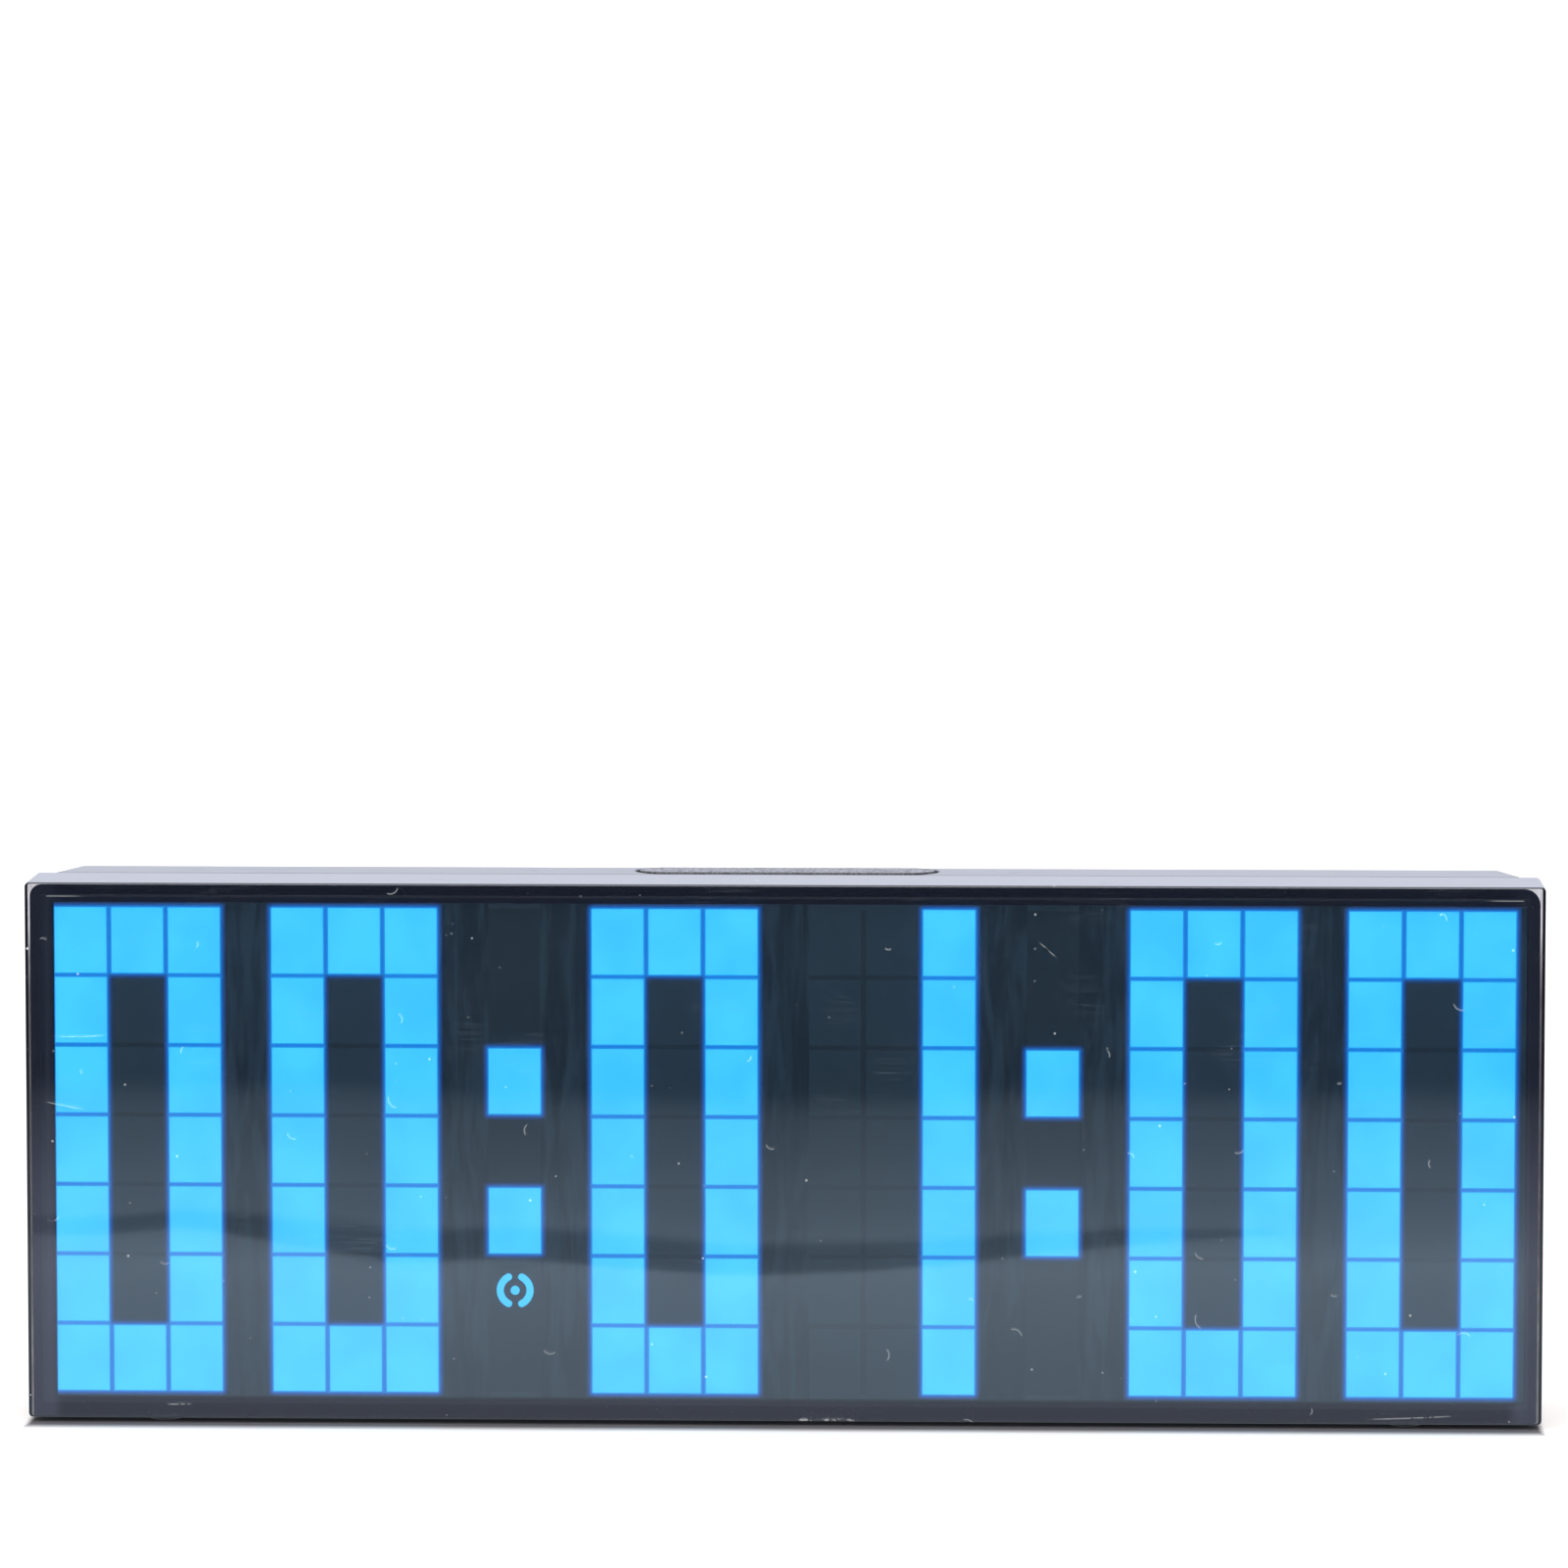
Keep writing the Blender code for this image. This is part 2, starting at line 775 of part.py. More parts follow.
def make_post_screws(material):
    head_y = board_front_y - fit_gap
    profile = [
        (0, -post_head_height),
        (post_head_radius, -post_head_height),
        (post_head_radius, 0),
        (post_screw_radius, 0),
        (post_screw_radius, post_screw_length),
        (0, post_screw_length),
    ]
    for number, (x, z) in enumerate(post_places(), 1):
        shape = bmesh.new()
        add_turned(shape, (x, head_y, z), (0, 1, 0), profile, small_sides)
        place(f"board_screw_{number}", shape, material)


def make_switch(name, centre, direction, material):
    """A snap-dome switch that stands on a board: a square block with a round pocket for a stem."""
    shape = bmesh.new()
    add_box(shape, (0, 0, switch_height / 2), (switch_side, switch_side, switch_height))
    bmesh.ops.transform(shape, matrix=turn_matrix(centre, direction), verts=shape.verts)
    switch = place(name, shape, material)
    pocket = bmesh.new()
    top = Vector(centre) + Vector(direction) * (switch_height + overrun)
    add_cylinder(pocket, top, -Vector(direction), pocket_radius, pocket_depth + overrun, small_sides)
    cut(switch, f"{name}_pocket", pocket)


def make_switches(material):
    """Switches under the five buttons, and one under the snooze bar."""
    for name, x in zip(button_names, button_places()):
        spot = (x, board_back_y + fit_gap, button_z)
        make_switch(name.replace("button", "switch"), spot, (0, 1, 0), material)
    spot = (0, bar_y, case_top - snooze_board_drop + fit_gap)
    make_switch("snooze_switch", spot, (0, 0, 1), material)


def make_snooze_board(material):
    top = case_top - snooze_board_drop
    shape = bmesh.new()
    middle = (0, bar_y, top - snooze_board_thickness / 2)
    add_box(shape, middle, (snooze_board_length, snooze_board_width, snooze_board_thickness))
    place("snooze_board", shape, material)


def button_places():
    return [button_first_x + i * button_pitch for i in range(len(button_names))]


def stadium(length, width, steps=8):
    """Outline of a slot with round ends, along the first axis."""
    radius = width / 2
    middle = length / 2 - radius
    right = [-math.pi / 2 + math.pi * step / steps for step in range(steps + 1)]
    points = [(middle + radius * math.cos(a), radius * math.sin(a)) for a in right]
    return points + [(-x, -y) for x, y in points]


def add_flat_prism(shape, outline, x, y, low, high):
    """Extrudes an (x, y) outline upwards."""
    bottom = [shape.verts.new((x + px, y + py, low)) for px, py in outline]
    top = [shape.verts.new((x + px, y + py, high)) for px, py in outline]
    count = len(outline)
    for i in range(count):
        j = (i + 1) % count
        shape.faces.new((bottom[i], bottom[j], top[j], top[i]))
    shape.faces.new(bottom)
    shape.faces.new(top)


def make_snooze_bar(material):
    """The long bar on top, with a tab at each end that keeps it in, and a stem to its switch."""
    under_wall = case_top - rear_wall - fit_gap
    bar_top = case_top + bar_proud
    outline = stadium(bar_length, bar_width)
    levels = (
        (outline, under_wall - bar_tab_height),
        (outline, bar_top - bar_crown),
        (stadium(bar_length - bar_crown, bar_width - bar_crown), bar_top - bar_crown / 4),
        (stadium(bar_length - 3 * bar_crown, bar_width - 3 * bar_crown), bar_top),
    )
    shape = bmesh.new()
    rings = [[shape.verts.new((x, bar_y + y, z)) for x, y in level] for level, z in levels]
    count = len(outline)
    for ring, following in zip(rings, rings[1:]):
        for i in range(count):
            j = (i + 1) % count
            shape.faces.new((ring[i], ring[j], following[j], following[i]))
    shape.faces.new(rings[0])
    shape.faces.new(rings[-1])
    hinge = pivot("snooze_axis", (0, bar_y, bar_top))
    bar = place("snooze_bar", shape, material, hinge)
    extras = bmesh.new()
    tab_low = under_wall - bar_tab_height
    reach = bar_length / 2 + bar_tab_length
    inward = bar_width / 2
    for side in (-1, 1):
        near, far = side * (bar_length / 2 - inward), side * reach
        low = (min(near, far), bar_y - bar_tab_width / 2, tab_low - fit_gap)
        high = (max(near, far), bar_y + bar_tab_width / 2, under_wall)
        box_between(extras, low, high)
    join(bar, "snooze_bar_tabs", extras)
    stem = bmesh.new()
    switch_top = case_top - snooze_board_drop + fit_gap + switch_height
    stem_low = switch_top - stem_dip
    start = (0, bar_y, stem_low)
    add_cylinder(stem, start, (0, 0, 1), bar_stem_radius, tab_low + overrun / 2 - stem_low, small_sides)
    join(bar, "snooze_bar_stem", stem)


def make_buttons(material):
    """Five caps, each with a flange that keeps it in and a stem to its switch."""
    cap_top = back_y - button_sunk
    flange_top = back_inner_y - fit_gap
    flange_low = flange_top - button_flange_height
    stem_end = board_back_y + fit_gap + switch_height - stem_dip
    profile = [
        (0, stem_end - cap_top),
        (button_stem_radius, stem_end - cap_top),
        (button_stem_radius, flange_low - cap_top),
        (button_flange_radius, flange_low - cap_top),
        (button_flange_radius, flange_top - cap_top),
        (button_radius, flange_top - cap_top),
        (button_radius, -button_edge),
        (button_radius - button_edge / 3, -button_edge / 3),
        (button_radius - button_edge, 0),
        (0, 0),
    ]
    for name, x in zip(button_names, button_places()):
        spot = (x, cap_top, button_z)
        shape = bmesh.new()
        add_turned(shape, spot, (0, 1, 0), profile, plain_sides)
        place(name, shape, material, pivot(f"{name}_axis", spot))


def make_jack(material):
    """A socket with a centre pin, whose nose shows in the rear cover."""
    base = board_back_y + fit_gap
    nose_end = back_y - fit_gap - base
    shoulder = back_inner_y - fit_gap - base
    profile = [
        (0, 0),
        (jack_radius, 0),
        (jack_radius, shoulder),
        (jack_nose_radius, shoulder),
        (jack_nose_radius, nose_end),
        (jack_bore, nose_end),
        (jack_bore, jack_floor),
        (jack_pin_radius, jack_floor),
        (jack_pin_radius, nose_end - jack_pin_short),
        (0, nose_end - jack_pin_short),
    ]
    shape = bmesh.new()
    add_turned(shape, (jack_x, base, jack_z), (0, 1, 0), profile, plain_sides)
    place("power_socket", shape, material)


def make_buzzer(material):
    base = board_back_y + fit_gap
    profile = [
        (0, 0),
        (buzzer_radius, 0),
        (buzzer_radius, buzzer_height - fit_gap),
        (buzzer_radius - fit_gap, buzzer_height),
        (buzzer_hole, buzzer_height),
        (buzzer_hole, buzzer_height - overrun),
        (0, buzzer_height - overrun),
    ]
    shape = bmesh.new()
    add_turned(shape, (buzzer_x, base, buzzer_z), (0, 1, 0), profile, plain_sides)
    place("buzzer", shape, material)


# Depths inside the coin cell's cup, from the door down to the floor
door_low_y = back_inner_y + fit_gap
ledge_low_y = back_inner_y - ledge_thickness
hook_top_y = ledge_low_y - fit_gap
hook_low_y = hook_top_y - hook_foot
coin_top_y = hook_low_y - fit_gap
coin_low_y = coin_top_y - coin_thickness
contact_top_y = coin_low_y - fit_gap
cup_floor_y = contact_top_y - contact_thickness - fit_gap
cup_radius = hook_outer + fit_gap
coin_well = coin_radius + coin_slack


def make_coin_cell(metal, contact_material):
    profile = [
        (0, 0),
        (coin_radius - coin_edge, 0),
        (coin_radius, coin_edge),
        (coin_radius, coin_thickness - coin_edge),
        (coin_radius - coin_edge, coin_thickness),
        (0, coin_thickness),
    ]
    shape = bmesh.new()
    add_turned(shape, (cell_x, coin_low_y, cell_z), (0, 1, 0), profile, fine_sides)
    place("coin_cell", shape, metal)
    shape = bmesh.new()
    middle = (cell_x, contact_top_y - contact_thickness / 2, cell_z)
    add_box(shape, middle, (contact_length, contact_thickness, contact_width))
    place("battery_contact", shape, contact_material)


def make_battery_door(material):
    """A round door: two hooks under its rim catch behind a ledge until it is turned."""
    thickness = door_thickness
    profile = [
        (0, 0),
        (door_radius, 0),
        (door_radius, thickness - door_edge),
        (door_radius - door_edge, thickness),
        (0, thickness),
    ]
    spot = (cell_x, door_low_y, cell_z)
    hinge = pivot("battery_door_axis", spot)
    shape = bmesh.new()
    add_turned(shape, spot, (0, 1, 0), profile, fine_sides)
    door = place("battery_door", shape, material, hinge)
    hooks = bmesh.new()
    leg_outer = ledge_bore - fit_gap
    for middle in (0, math.pi):
        leg = ring_sector(hook_inner, leg_outer, middle, hook_half_angle, small_sides // 3)
        foot = ring_sector(hook_inner, hook_outer, middle, hook_half_angle, small_sides // 3)
        sections = [
            (moved(foot, cell_x, cell_z), hook_low_y),
            (moved(foot, cell_x, cell_z), hook_top_y),
            (moved(leg, cell_x, cell_z), hook_top_y),
            (moved(leg, cell_x, cell_z), door_low_y + thickness / 3),
        ]
        add_loft(hooks, sections)
    join(door, "battery_door_hooks", hooks)
    slot = bmesh.new()
    top = door_low_y + thickness
    middle = (cell_x, top + (overrun - coin_slot_depth) / 2, cell_z)
    add_box(slot, middle, (coin_slot_length, coin_slot_depth + overrun, coin_slot_width))
    cut(door, "battery_door_slot", slot)


def rear_half_width(y):
    """Half the rear cover's width at a depth: its sides lean in towards the back."""
    share = (y - seam_y) / rear_depth
    return case_width / 2 - rear_side_inset - rear_side_lean * share


def rear_shell_sections():
    """The rear cover's skin, from the back face round the rim, the lip and the inside."""
    sections = []
    for step in range(rim_steps + 1):
        angle = step / rim_steps * math.pi / 2
        inset = rear_rim * (1 - math.sin(angle))
        y = back_y - rear_rim * (1 - math.cos(angle))
        width = 2 * (rear_half_width(y) - inset)
        sections.append((rounded_outline(width, case_height - 2 * inset, rear_corner - inset), y))
    front_width = 2 * rear_half_width(rear_front_y)
    sections.append((rounded_outline(front_width, case_height, rear_corner), rear_front_y))
    lip_width = inside_width - 2 * fit_gap
    lip_height = inside_height - 2 * fit_gap
    lip = rounded_outline(lip_width, lip_height, front_inner_corner)
    throat = rounded_outline(lip_width - 2 * lip_thickness, lip_height - 2 * lip_thickness, rear_inner_corner)
    sections += [(lip, rear_front_y), (lip, lip_front_y), (throat, lip_front_y)]
    root_y = rear_front_y + lip_root
    sections.append((throat, root_y))
    for y in (root_y, back_inner_y):
        inner_width = 2 * (rear_half_width(y) - rear_wall)
        inner_height = case_height - 2 * rear_wall
        sections.append((rounded_outline(inner_width, inner_height, rear_inner_corner), y))
    return [(raised(outline, case_middle), y) for outline, y in sections]


def add_rear_inner_features(rear):
    """Screw wells, board posts, the coin cell's cup, the shelf and the snaps."""
    into_wall = back_inner_y + rear_wall / 2
    shape = bmesh.new()
    well_end = led_board_back + fit_gap
    for x, z in screw_places:
        add_cylinder(shape, (x, well_end, z), (0, 1, 0), well_radius, into_wall - well_end, plain_sides)
    post_end = board_back_y + fit_gap
    for x, z in post_places():
        add_cylinder(shape, (x, post_end, z), (0, 1, 0), post_radius, into_wall - post_end, small_sides)
    cup_end = cup_floor_y - cup_floor
    cup = (cell_x, cup_end, cell_z)
    add_cylinder(shape, cup, (0, 1, 0), cup_radius + cup_wall, into_wall - cup_end, fine_sides)
    shelf_top = case_top - snooze_board_drop - snooze_board_thickness - fit_gap
    half = snooze_board_length / 2 + shelf_side
    low = (-half, bar_y - snooze_board_width / 2, shelf_top - shelf_thickness)
    box_between(shape, low, (half, into_wall, shelf_top))
    for x, side in snap_spots():
        outer = case_middle + side * (inside_height / 2 - fit_gap)
        add_box(shape, (x, snap_y(), outer), (snap_length, snap_width, 2 * snap_height))
    join(rear, "rear_inner_features", shape)


def keyhole_outline(x):
    """A round entry with a narrow neck above it."""
    points = []
    join_angle = math.asin(keyhole_neck / keyhole_entry)
    sweep = math.tau - 2 * join_angle
    for step in range(plain_sides + 1):
        angle = math.pi / 2 + join_angle + sweep * step / plain_sides
        points.append((keyhole_entry * math.cos(angle), keyhole_entry * math.sin(angle)))
    for step in range(small_sides + 1):
        angle = math.pi * step / small_sides
        points.append((keyhole_neck * math.cos(angle), keyhole_rise + keyhole_neck * math.sin(angle)))
    return moved(points, x, keyhole_z)


def cut_rear_openings(rear):
    """All that is cut through the rear cover's walls."""
    reach = rear_wall + 2 * overrun
    holes = bmesh.new()
    for x, z in screw_places:
        bore = back_y + overrun - well_seat_y
        add_cylinder(holes, (x, well_seat_y, z), (0, 1, 0), screw_head_radius + fit_gap, bore, plain_sides)
    for x, z in post_places():
        start = (x, board_back_y, z)
        depth = post_screw_length - board_thickness + fit_gap
        add_cylinder(holes, start, (0, 1, 0), post_screw_radius + fit_gap, depth, small_sides)
    start = (jack_x, back_inner_y - overrun, jack_z)
    add_cylinder(holes, start, (0, 1, 0), jack_nose_radius + fit_gap, reach, plain_sides)
    for x in (-keyhole_x, keyhole_x):
        add_prism(holes, keyhole_outline(x), back_inner_y - overrun, back_y + overrun)
    sound_spots = [(0, 0)]
    for step in range(sound_count):
        angle = math.tau * step / sound_count
        sound_spots.append((sound_ring * math.cos(angle), sound_ring * math.sin(angle)))
    for x, z in sound_spots:
        start = (buzzer_x + x, back_inner_y - overrun, buzzer_z + z)
        add_cylinder(holes, start, (0, 1, 0), sound_hole, reach, small_sides)
    first, last = button_places()[0], button_places()[-1]
    recess = stadium(last - first + 2 * (button_radius + recess_border), 2 * (button_radius + recess_border))
    add_prism(holes, moved(recess, (first + last) / 2, button_z), back_y - recess_depth, back_y + overrun)
    start = (cell_x, back_inner_y, cell_z)
    add_cylinder(holes, start, (0, 1, 0), door_radius + fit_gap, rear_wall + overrun, fine_sides)
    cut(rear, "rear_outer_cuts", holes)

    deeper = bmesh.new()
    for x, z in screw_places:
        start = (x, led_board_back - overrun, z)
        length = well_seat_y + overrun - start[1]
        add_cylinder(deeper, start, (0, 1, 0), screw_radius + fit_gap, length, small_sides)
    for x in button_places():
        start = (x, back_inner_y - overrun, button_z)
        add_cylinder(deeper, start, (0, 1, 0), button_radius + fit_gap, reach, plain_sides)
    start = (cell_x, ledge_low_y - fit_gap / 2, cell_z)
    length = back_inner_y + overrun - start[1]
    add_cylinder(deeper, start, (0, 1, 0), ledge_bore, length, fine_sides)
    cut(rear, "rear_deeper_cuts", deeper)

    notches = bmesh.new()
    for middle in (door_turn, door_turn + math.pi):
        outline = ring_sector(hook_inner, cup_radius, -middle, notch_half_angle, small_sides // 3)
        outline = moved(outline, cell_x, cell_z)
        add_prism(notches, outline, ledge_low_y - fit_gap / 2, back_inner_y + overrun)
    cut(rear, "rear_hook_notches", notches)

    cup = bmesh.new()
    profile = [
        (0, cup_floor_y),
        (coin_well, cup_floor_y),
        (coin_well, coin_top_y),
        (cup_radius, coin_top_y),
        (cup_radius, ledge_low_y),
        (0, ledge_low_y),
    ]
    add_turned(cup, (cell_x, 0, cell_z), (0, 1, 0), profile, fine_sides)
    cut(rear, "rear_cup_inside", cup)

    slot = bmesh.new()
    outline = stadium(bar_length + 2 * fit_gap, bar_width + 2 * fit_gap)
    add_flat_prism(slot, outline, 0, bar_y, case_top - rear_wall - overrun, case_top + overrun)
    cut(rear, "rear_snooze_slot", slot)
    cut(rear, "rear_foot_recesses", foot_recesses(back_y - foot_back_inset))


def make_rear_cover(material):
    shape = bmesh.new()
    add_loft(shape, rear_shell_sections())
    rear = place("rear_cover", shape, material)
    add_rear_inner_features(rear)
    cut_rear_openings(rear)


def make_case_screws(material):
    """Four pan-head screws, seen at the bottom of their wells."""
    head_low = well_seat_y + fit_gap
    tip = grid_y + grid_depth - screw_into_grid - head_low
    profile = [
        (0, tip),
        (screw_radius, tip),
        (screw_radius, 0),
        (screw_head_radius, 0),
        (screw_head_radius, screw_head_height / 2),
        (cross_length / 2 + fit_gap, screw_head_height),
        (0, screw_head_height),
    ]
    slot_y = head_low + screw_head_height + (overrun - cross_depth) / 2
    slot_depth = cross_depth + overrun
    for number, (x, z) in enumerate(screw_places, 1):
        shape = bmesh.new()
        add_turned(shape, (x, head_low, z), (0, 1, 0), profile, small_sides)
        screw = place(f"case_screw_{number}", shape, material)
        ways = {"across": (cross_length, cross_width), "upright": (cross_width, cross_length)}
        for way, (width, height) in ways.items():
            slot = bmesh.new()
            add_box(slot, (x, slot_y, z), (width, slot_depth, height))
            cut(screw, f"case_screw_{number}_slot_{way}", slot)


def make_ribbon(ribbon_material, socket_material):
    """The flat cable between the two boards, and the sockets that its ends sit in."""
    width, depth, height = socket_size
    start = Vector((socket_x, led_board_back + fit_gap + depth / 2, led_socket_z))
    end = Vector((socket_x, board_front_y - fit_gap - depth / 2, board_socket_z))
    for name, spot in (("cable_socket_front", start), ("cable_socket_rear", end)):
        shape = bmesh.new()
        add_box(shape, spot, socket_size)
        place(name, shape, socket_material)
    start.z -= height / 2 + fit_gap
    end.z += height / 2 + fit_gap
    points = []
    steps = small_sides
    for step in range(steps + 1):
        share = step / steps
        sway = math.sin(math.pi * share) * math.sin(math.tau * share) * ribbon_slack
        y = start.y + (end.y - start.y) * (1 - math.cos(math.pi * share)) / 2 + sway
        points.append((y, start.z + (end.z - start.z) * share))
    half = ribbon_thickness / 2
    front = [(y - half, z) for y, z in points]
    back = [(y + half, z) for y, z in reversed(points)]
    outline = front + back
    shape = bmesh.new()
    low, high = socket_x - ribbon_width / 2, socket_x + ribbon_width / 2
    near = [shape.verts.new((low, y, z)) for y, z in outline]
    far = [shape.verts.new((high, y, z)) for y, z in outline]
    count = len(outline)
    for i in range(count):
        j = (i + 1) % count
        shape.faces.new((near[i], near[j], far[j], far[i]))
    for side in (near, far):
        for i in range(steps):
            quad = (side[i], side[i + 1], side[count - 2 - i], side[count - 1 - i])
            shape.faces.new(quad)
    place("ribbon_cable", shape, ribbon_material)


# Where the cord lies: the coil rests on its tie, and the far plug is as thick as the first layer is high
plug_front_y = back_y + plug_standoff
coil_pitch = 2 * cord_radius + coil_turn_gap
coil_low_z = floor_gap + tie_thickness + fit_gap + cord_radius
coil_high_z = coil_low_z + 2 * cord_radius + coil_layer_gap
coil_outer_radius = coil_inner_radius + coil_pitch * coil_turns_per_layer
coil_far_y = coil_y + coil_outer_radius
usb_body_height = 2 * (coil_low_z - floor_gap)


def make_power_plug(rubber, metal):
    """The barrel in the socket, and the grip behind it, moulded in one with its ribbed strain relief."""
    profile = [
        (0, barrel_length),
        (barrel_radius, barrel_length),
        (barrel_radius, 0),
        (barrel_bore, 0),
        (barrel_bore, barrel_length - barrel_cap),
        (0, barrel_length - barrel_cap),
    ]
    start_y = plug_front_y - fit_gap - barrel_length
    shape = bmesh.new()
    add_turned(shape, (jack_x, start_y, jack_z), (0, 1, 0), profile, plain_sides)
    place("plug_barrel", shape, metal)
    shape = bmesh.new()
    add_turned(shape, (jack_x, plug_front_y, jack_z), (0, 1, 0), plug_profile(), plain_sides)
    place("power_plug", shape, rubber)


def plug_profile():
    """A grip with a soft front edge, and a sleeve that narrows to the cord rib by rib."""
    profile = [
        (0, 0),
        (plug_radius - plug_edge, 0),
        (plug_radius, plug_edge),
        (plug_radius, plug_length * grip_share),
        (plug_end_radius, plug_length),
    ]
    end_radius = cord_radius + 2 * fit_gap
    rib_pitch = relief_length / relief_ribs
    for rib in range(relief_ribs):
        share = rib / (relief_ribs - 1)
        radius = relief_start_radius + (end_radius - relief_start_radius) * share
        start = plug_length + rib * rib_pitch
        groove_end = start + rib_pitch * groove_share
        profile += [(radius - relief_rib, start), (radius - relief_rib, groove_end)]
        profile += [(radius, groove_end), (radius, start + rib_pitch)]
    profile.append((0, plug_length + relief_length))
    return profile


def smooth_run(knots, spacing):
    """Points about evenly spaced on a smooth curve through the knots."""
    knots = [Vector(k) for k in knots]
    padded = [2 * knots[0] - knots[1], *knots, 2 * knots[-1] - knots[-2]]
    dense = []
    for a, b, c, d in zip(padded, padded[1:], padded[2:], padded[3:]):
        for step in range(curve_steps):
            t = step / curve_steps
            straight, bend, twist = c - a, 2 * a - 5 * b + 4 * c - d, 3 * b - a - 3 * c + d
            dense.append((2 * b + straight * t + bend * t**2 + twist * t**3) / 2)
    dense.append(knots[-1])
    lengths = [0]
    for a, b in zip(dense, dense[1:]):
        lengths.append(lengths[-1] + (b - a).length)
    count = max(2, round(lengths[-1] / spacing))
    points, at = [], 0
    for i in range(count + 1):
        goal = lengths[-1] * i / count
        while at < len(dense) - 2 and lengths[at + 1] < goal:
            at += 1
        share = (goal - lengths[at]) / max(lengths[at + 1] - lengths[at], fit_gap / 1000)
        points.append(dense[at].lerp(dense[at + 1], min(share, 1)))
    return points


# The lead's route from the plug to the coil, in real places chosen by hand
lead_knots = [
    (-100 * mm, 57.3 * mm, 31 * mm),
    (-100 * mm, 62 * mm, 30.8 * mm),
    (-99.3 * mm, 69 * mm, 28.8 * mm),
    (-96.5 * mm, 76.5 * mm, 23.2 * mm),
    (-90.5 * mm, 83.5 * mm, 15.2 * mm),
    (-81.5 * mm, 89.2 * mm, 8.2 * mm),
    (-70 * mm, 92.6 * mm, 4 * mm),
    (-57.5 * mm, 93.8 * mm, 2.5 * mm),
    (-46 * mm, 93.8 * mm, 2.6 * mm),
    (-35 * mm, 93.5 * mm, 4 * mm),
    (-25.5 * mm, 93.1 * mm, 6.3 * mm),
    (-17.5 * mm, 92.8 * mm, 7.9 * mm),
]


def lead_route():
    """From the relief down to the floor and up to the coil's top layer, where it runs straight in."""
    end = Vector((coil_x - straight_end - fit_gap, coil_far_y, coil_high_z))
    before = end - Vector((straight_end, 0, 0))
    return smooth_run([*lead_knots, before, end], 5 * cord_radius)


def coil_turns():
    """Winds in on the top layer, drops a layer at the middle, and winds out again along the floor."""
    turns = coil_turns_per_layer
    steps = round(2 * turns * coil_points_per_turn)
    points = [Vector((coil_x - straight_end, coil_far_y, coil_high_z))]
    for step in range(steps + 1):
        at = -turns + 2 * turns * step / steps
        radius = coil_inner_radius + coil_pitch * abs(at)
        drop = min(max(at / coil_climb_turns + 1 / 2, 0), 1)
        height = coil_high_z + (coil_low_z - coil_high_z) * drop**2 * (3 - 2 * drop)
        angle = math.pi / 2 - math.tau * (at + turns)
        points.append(Vector((coil_x + radius * math.cos(angle), coil_y + radius * math.sin(angle), height)))
    return points


def tail_end_x():
    """The straight tail ends where the whole cord has its length."""
    used = run_length(lead_route()) + fit_gap + run_length(coil_turns())
    return coil_x + cord_length - used


def coil_route():
    points = coil_turns()
    points.append(Vector((tail_end_x(), coil_far_y, coil_low_z)))
    return points


def run_length(points):
    return sum((b - a).length for a, b in zip(points, points[1:]))


def make_tube(name, points, radius, sides_setting, material):
    curve = bpy.data.curves.new(name, "CURVE")
    curve.dimensions = "3D"
    curve.bevel_depth = radius
    curve.bevel_resolution = sides_setting
    curve.use_fill_caps = True
    spline = curve.splines.new("POLY")
    spline.points.add(len(points) - 1)
    for target, point in zip(spline.points, points):
        target.co = (*point, 1)
    curve.materials.append(material)
    made = bpy.data.objects.new(name, curve)
    bpy.context.scene.collection.objects.link(made)


def least_gap(points):
    """The least clear gap between the coil's turns."""
    places = np.array(points)
    separation = np.linalg.norm(places[:, None] - places[None], axis=2)
    index = np.arange(len(places))
    apart = np.abs(index[:, None] - index[None]) > coil_points_per_turn // 3
    return separation[apart].min() - 2 * cord_radius


def make_cord(material):
    lead, coil = lead_route(), coil_route()
    make_tube("cord_lead", lead, cord_radius, cord_sides_setting, material)
    make_tube("cord_coil", coil, cord_radius, coil_sides_setting, material)
    print(f"cord length {run_length([*lead, *coil]) / mm:.1f} mm, coil {run_length(coil) / mm:.1f} mm")
    print(f"straight tail {(tail_end_x() - coil_x) / mm:.1f} mm")
    print(f"least gap between the coil's turns {least_gap(coil) / mm:.2f} mm")


def make_snooze_lead(material):
    """The wire from the snooze board down to the face of the control board."""
    start = Vector(
        (-snooze_board_length / 2 - fit_gap, bar_y, case_top - snooze_board_drop - snooze_board_thickness / 2)
    )
    end = Vector((wire_foot_x, board_front_y - fit_gap, wire_foot_z))
    turn = wire_turn
    side_x = (start.x + end.x) / 2
    knots = [
        start,
        start + Vector((-turn / 3, 0, 0)),
        Vector((side_x, start.y - turn / 3, start.z - turn / 3)),
        Vector((end.x, start.y - turn, start.z - 3 * turn)),
        Vector((end.x, end.y - wire_sag, (start.z + end.z) / 2)),
        Vector((end.x, end.y - wire_sag, end.z + 2 * turn)),
        Vector((end.x, end.y - turn, end.z + turn / 3)),
        Vector((end.x, end.y - turn / 3, end.z)),
        end,
    ]
    make_tube("snooze_lead", smooth_run(knots, 10 * wire_radius), wire_radius, cord_sides_setting, material)


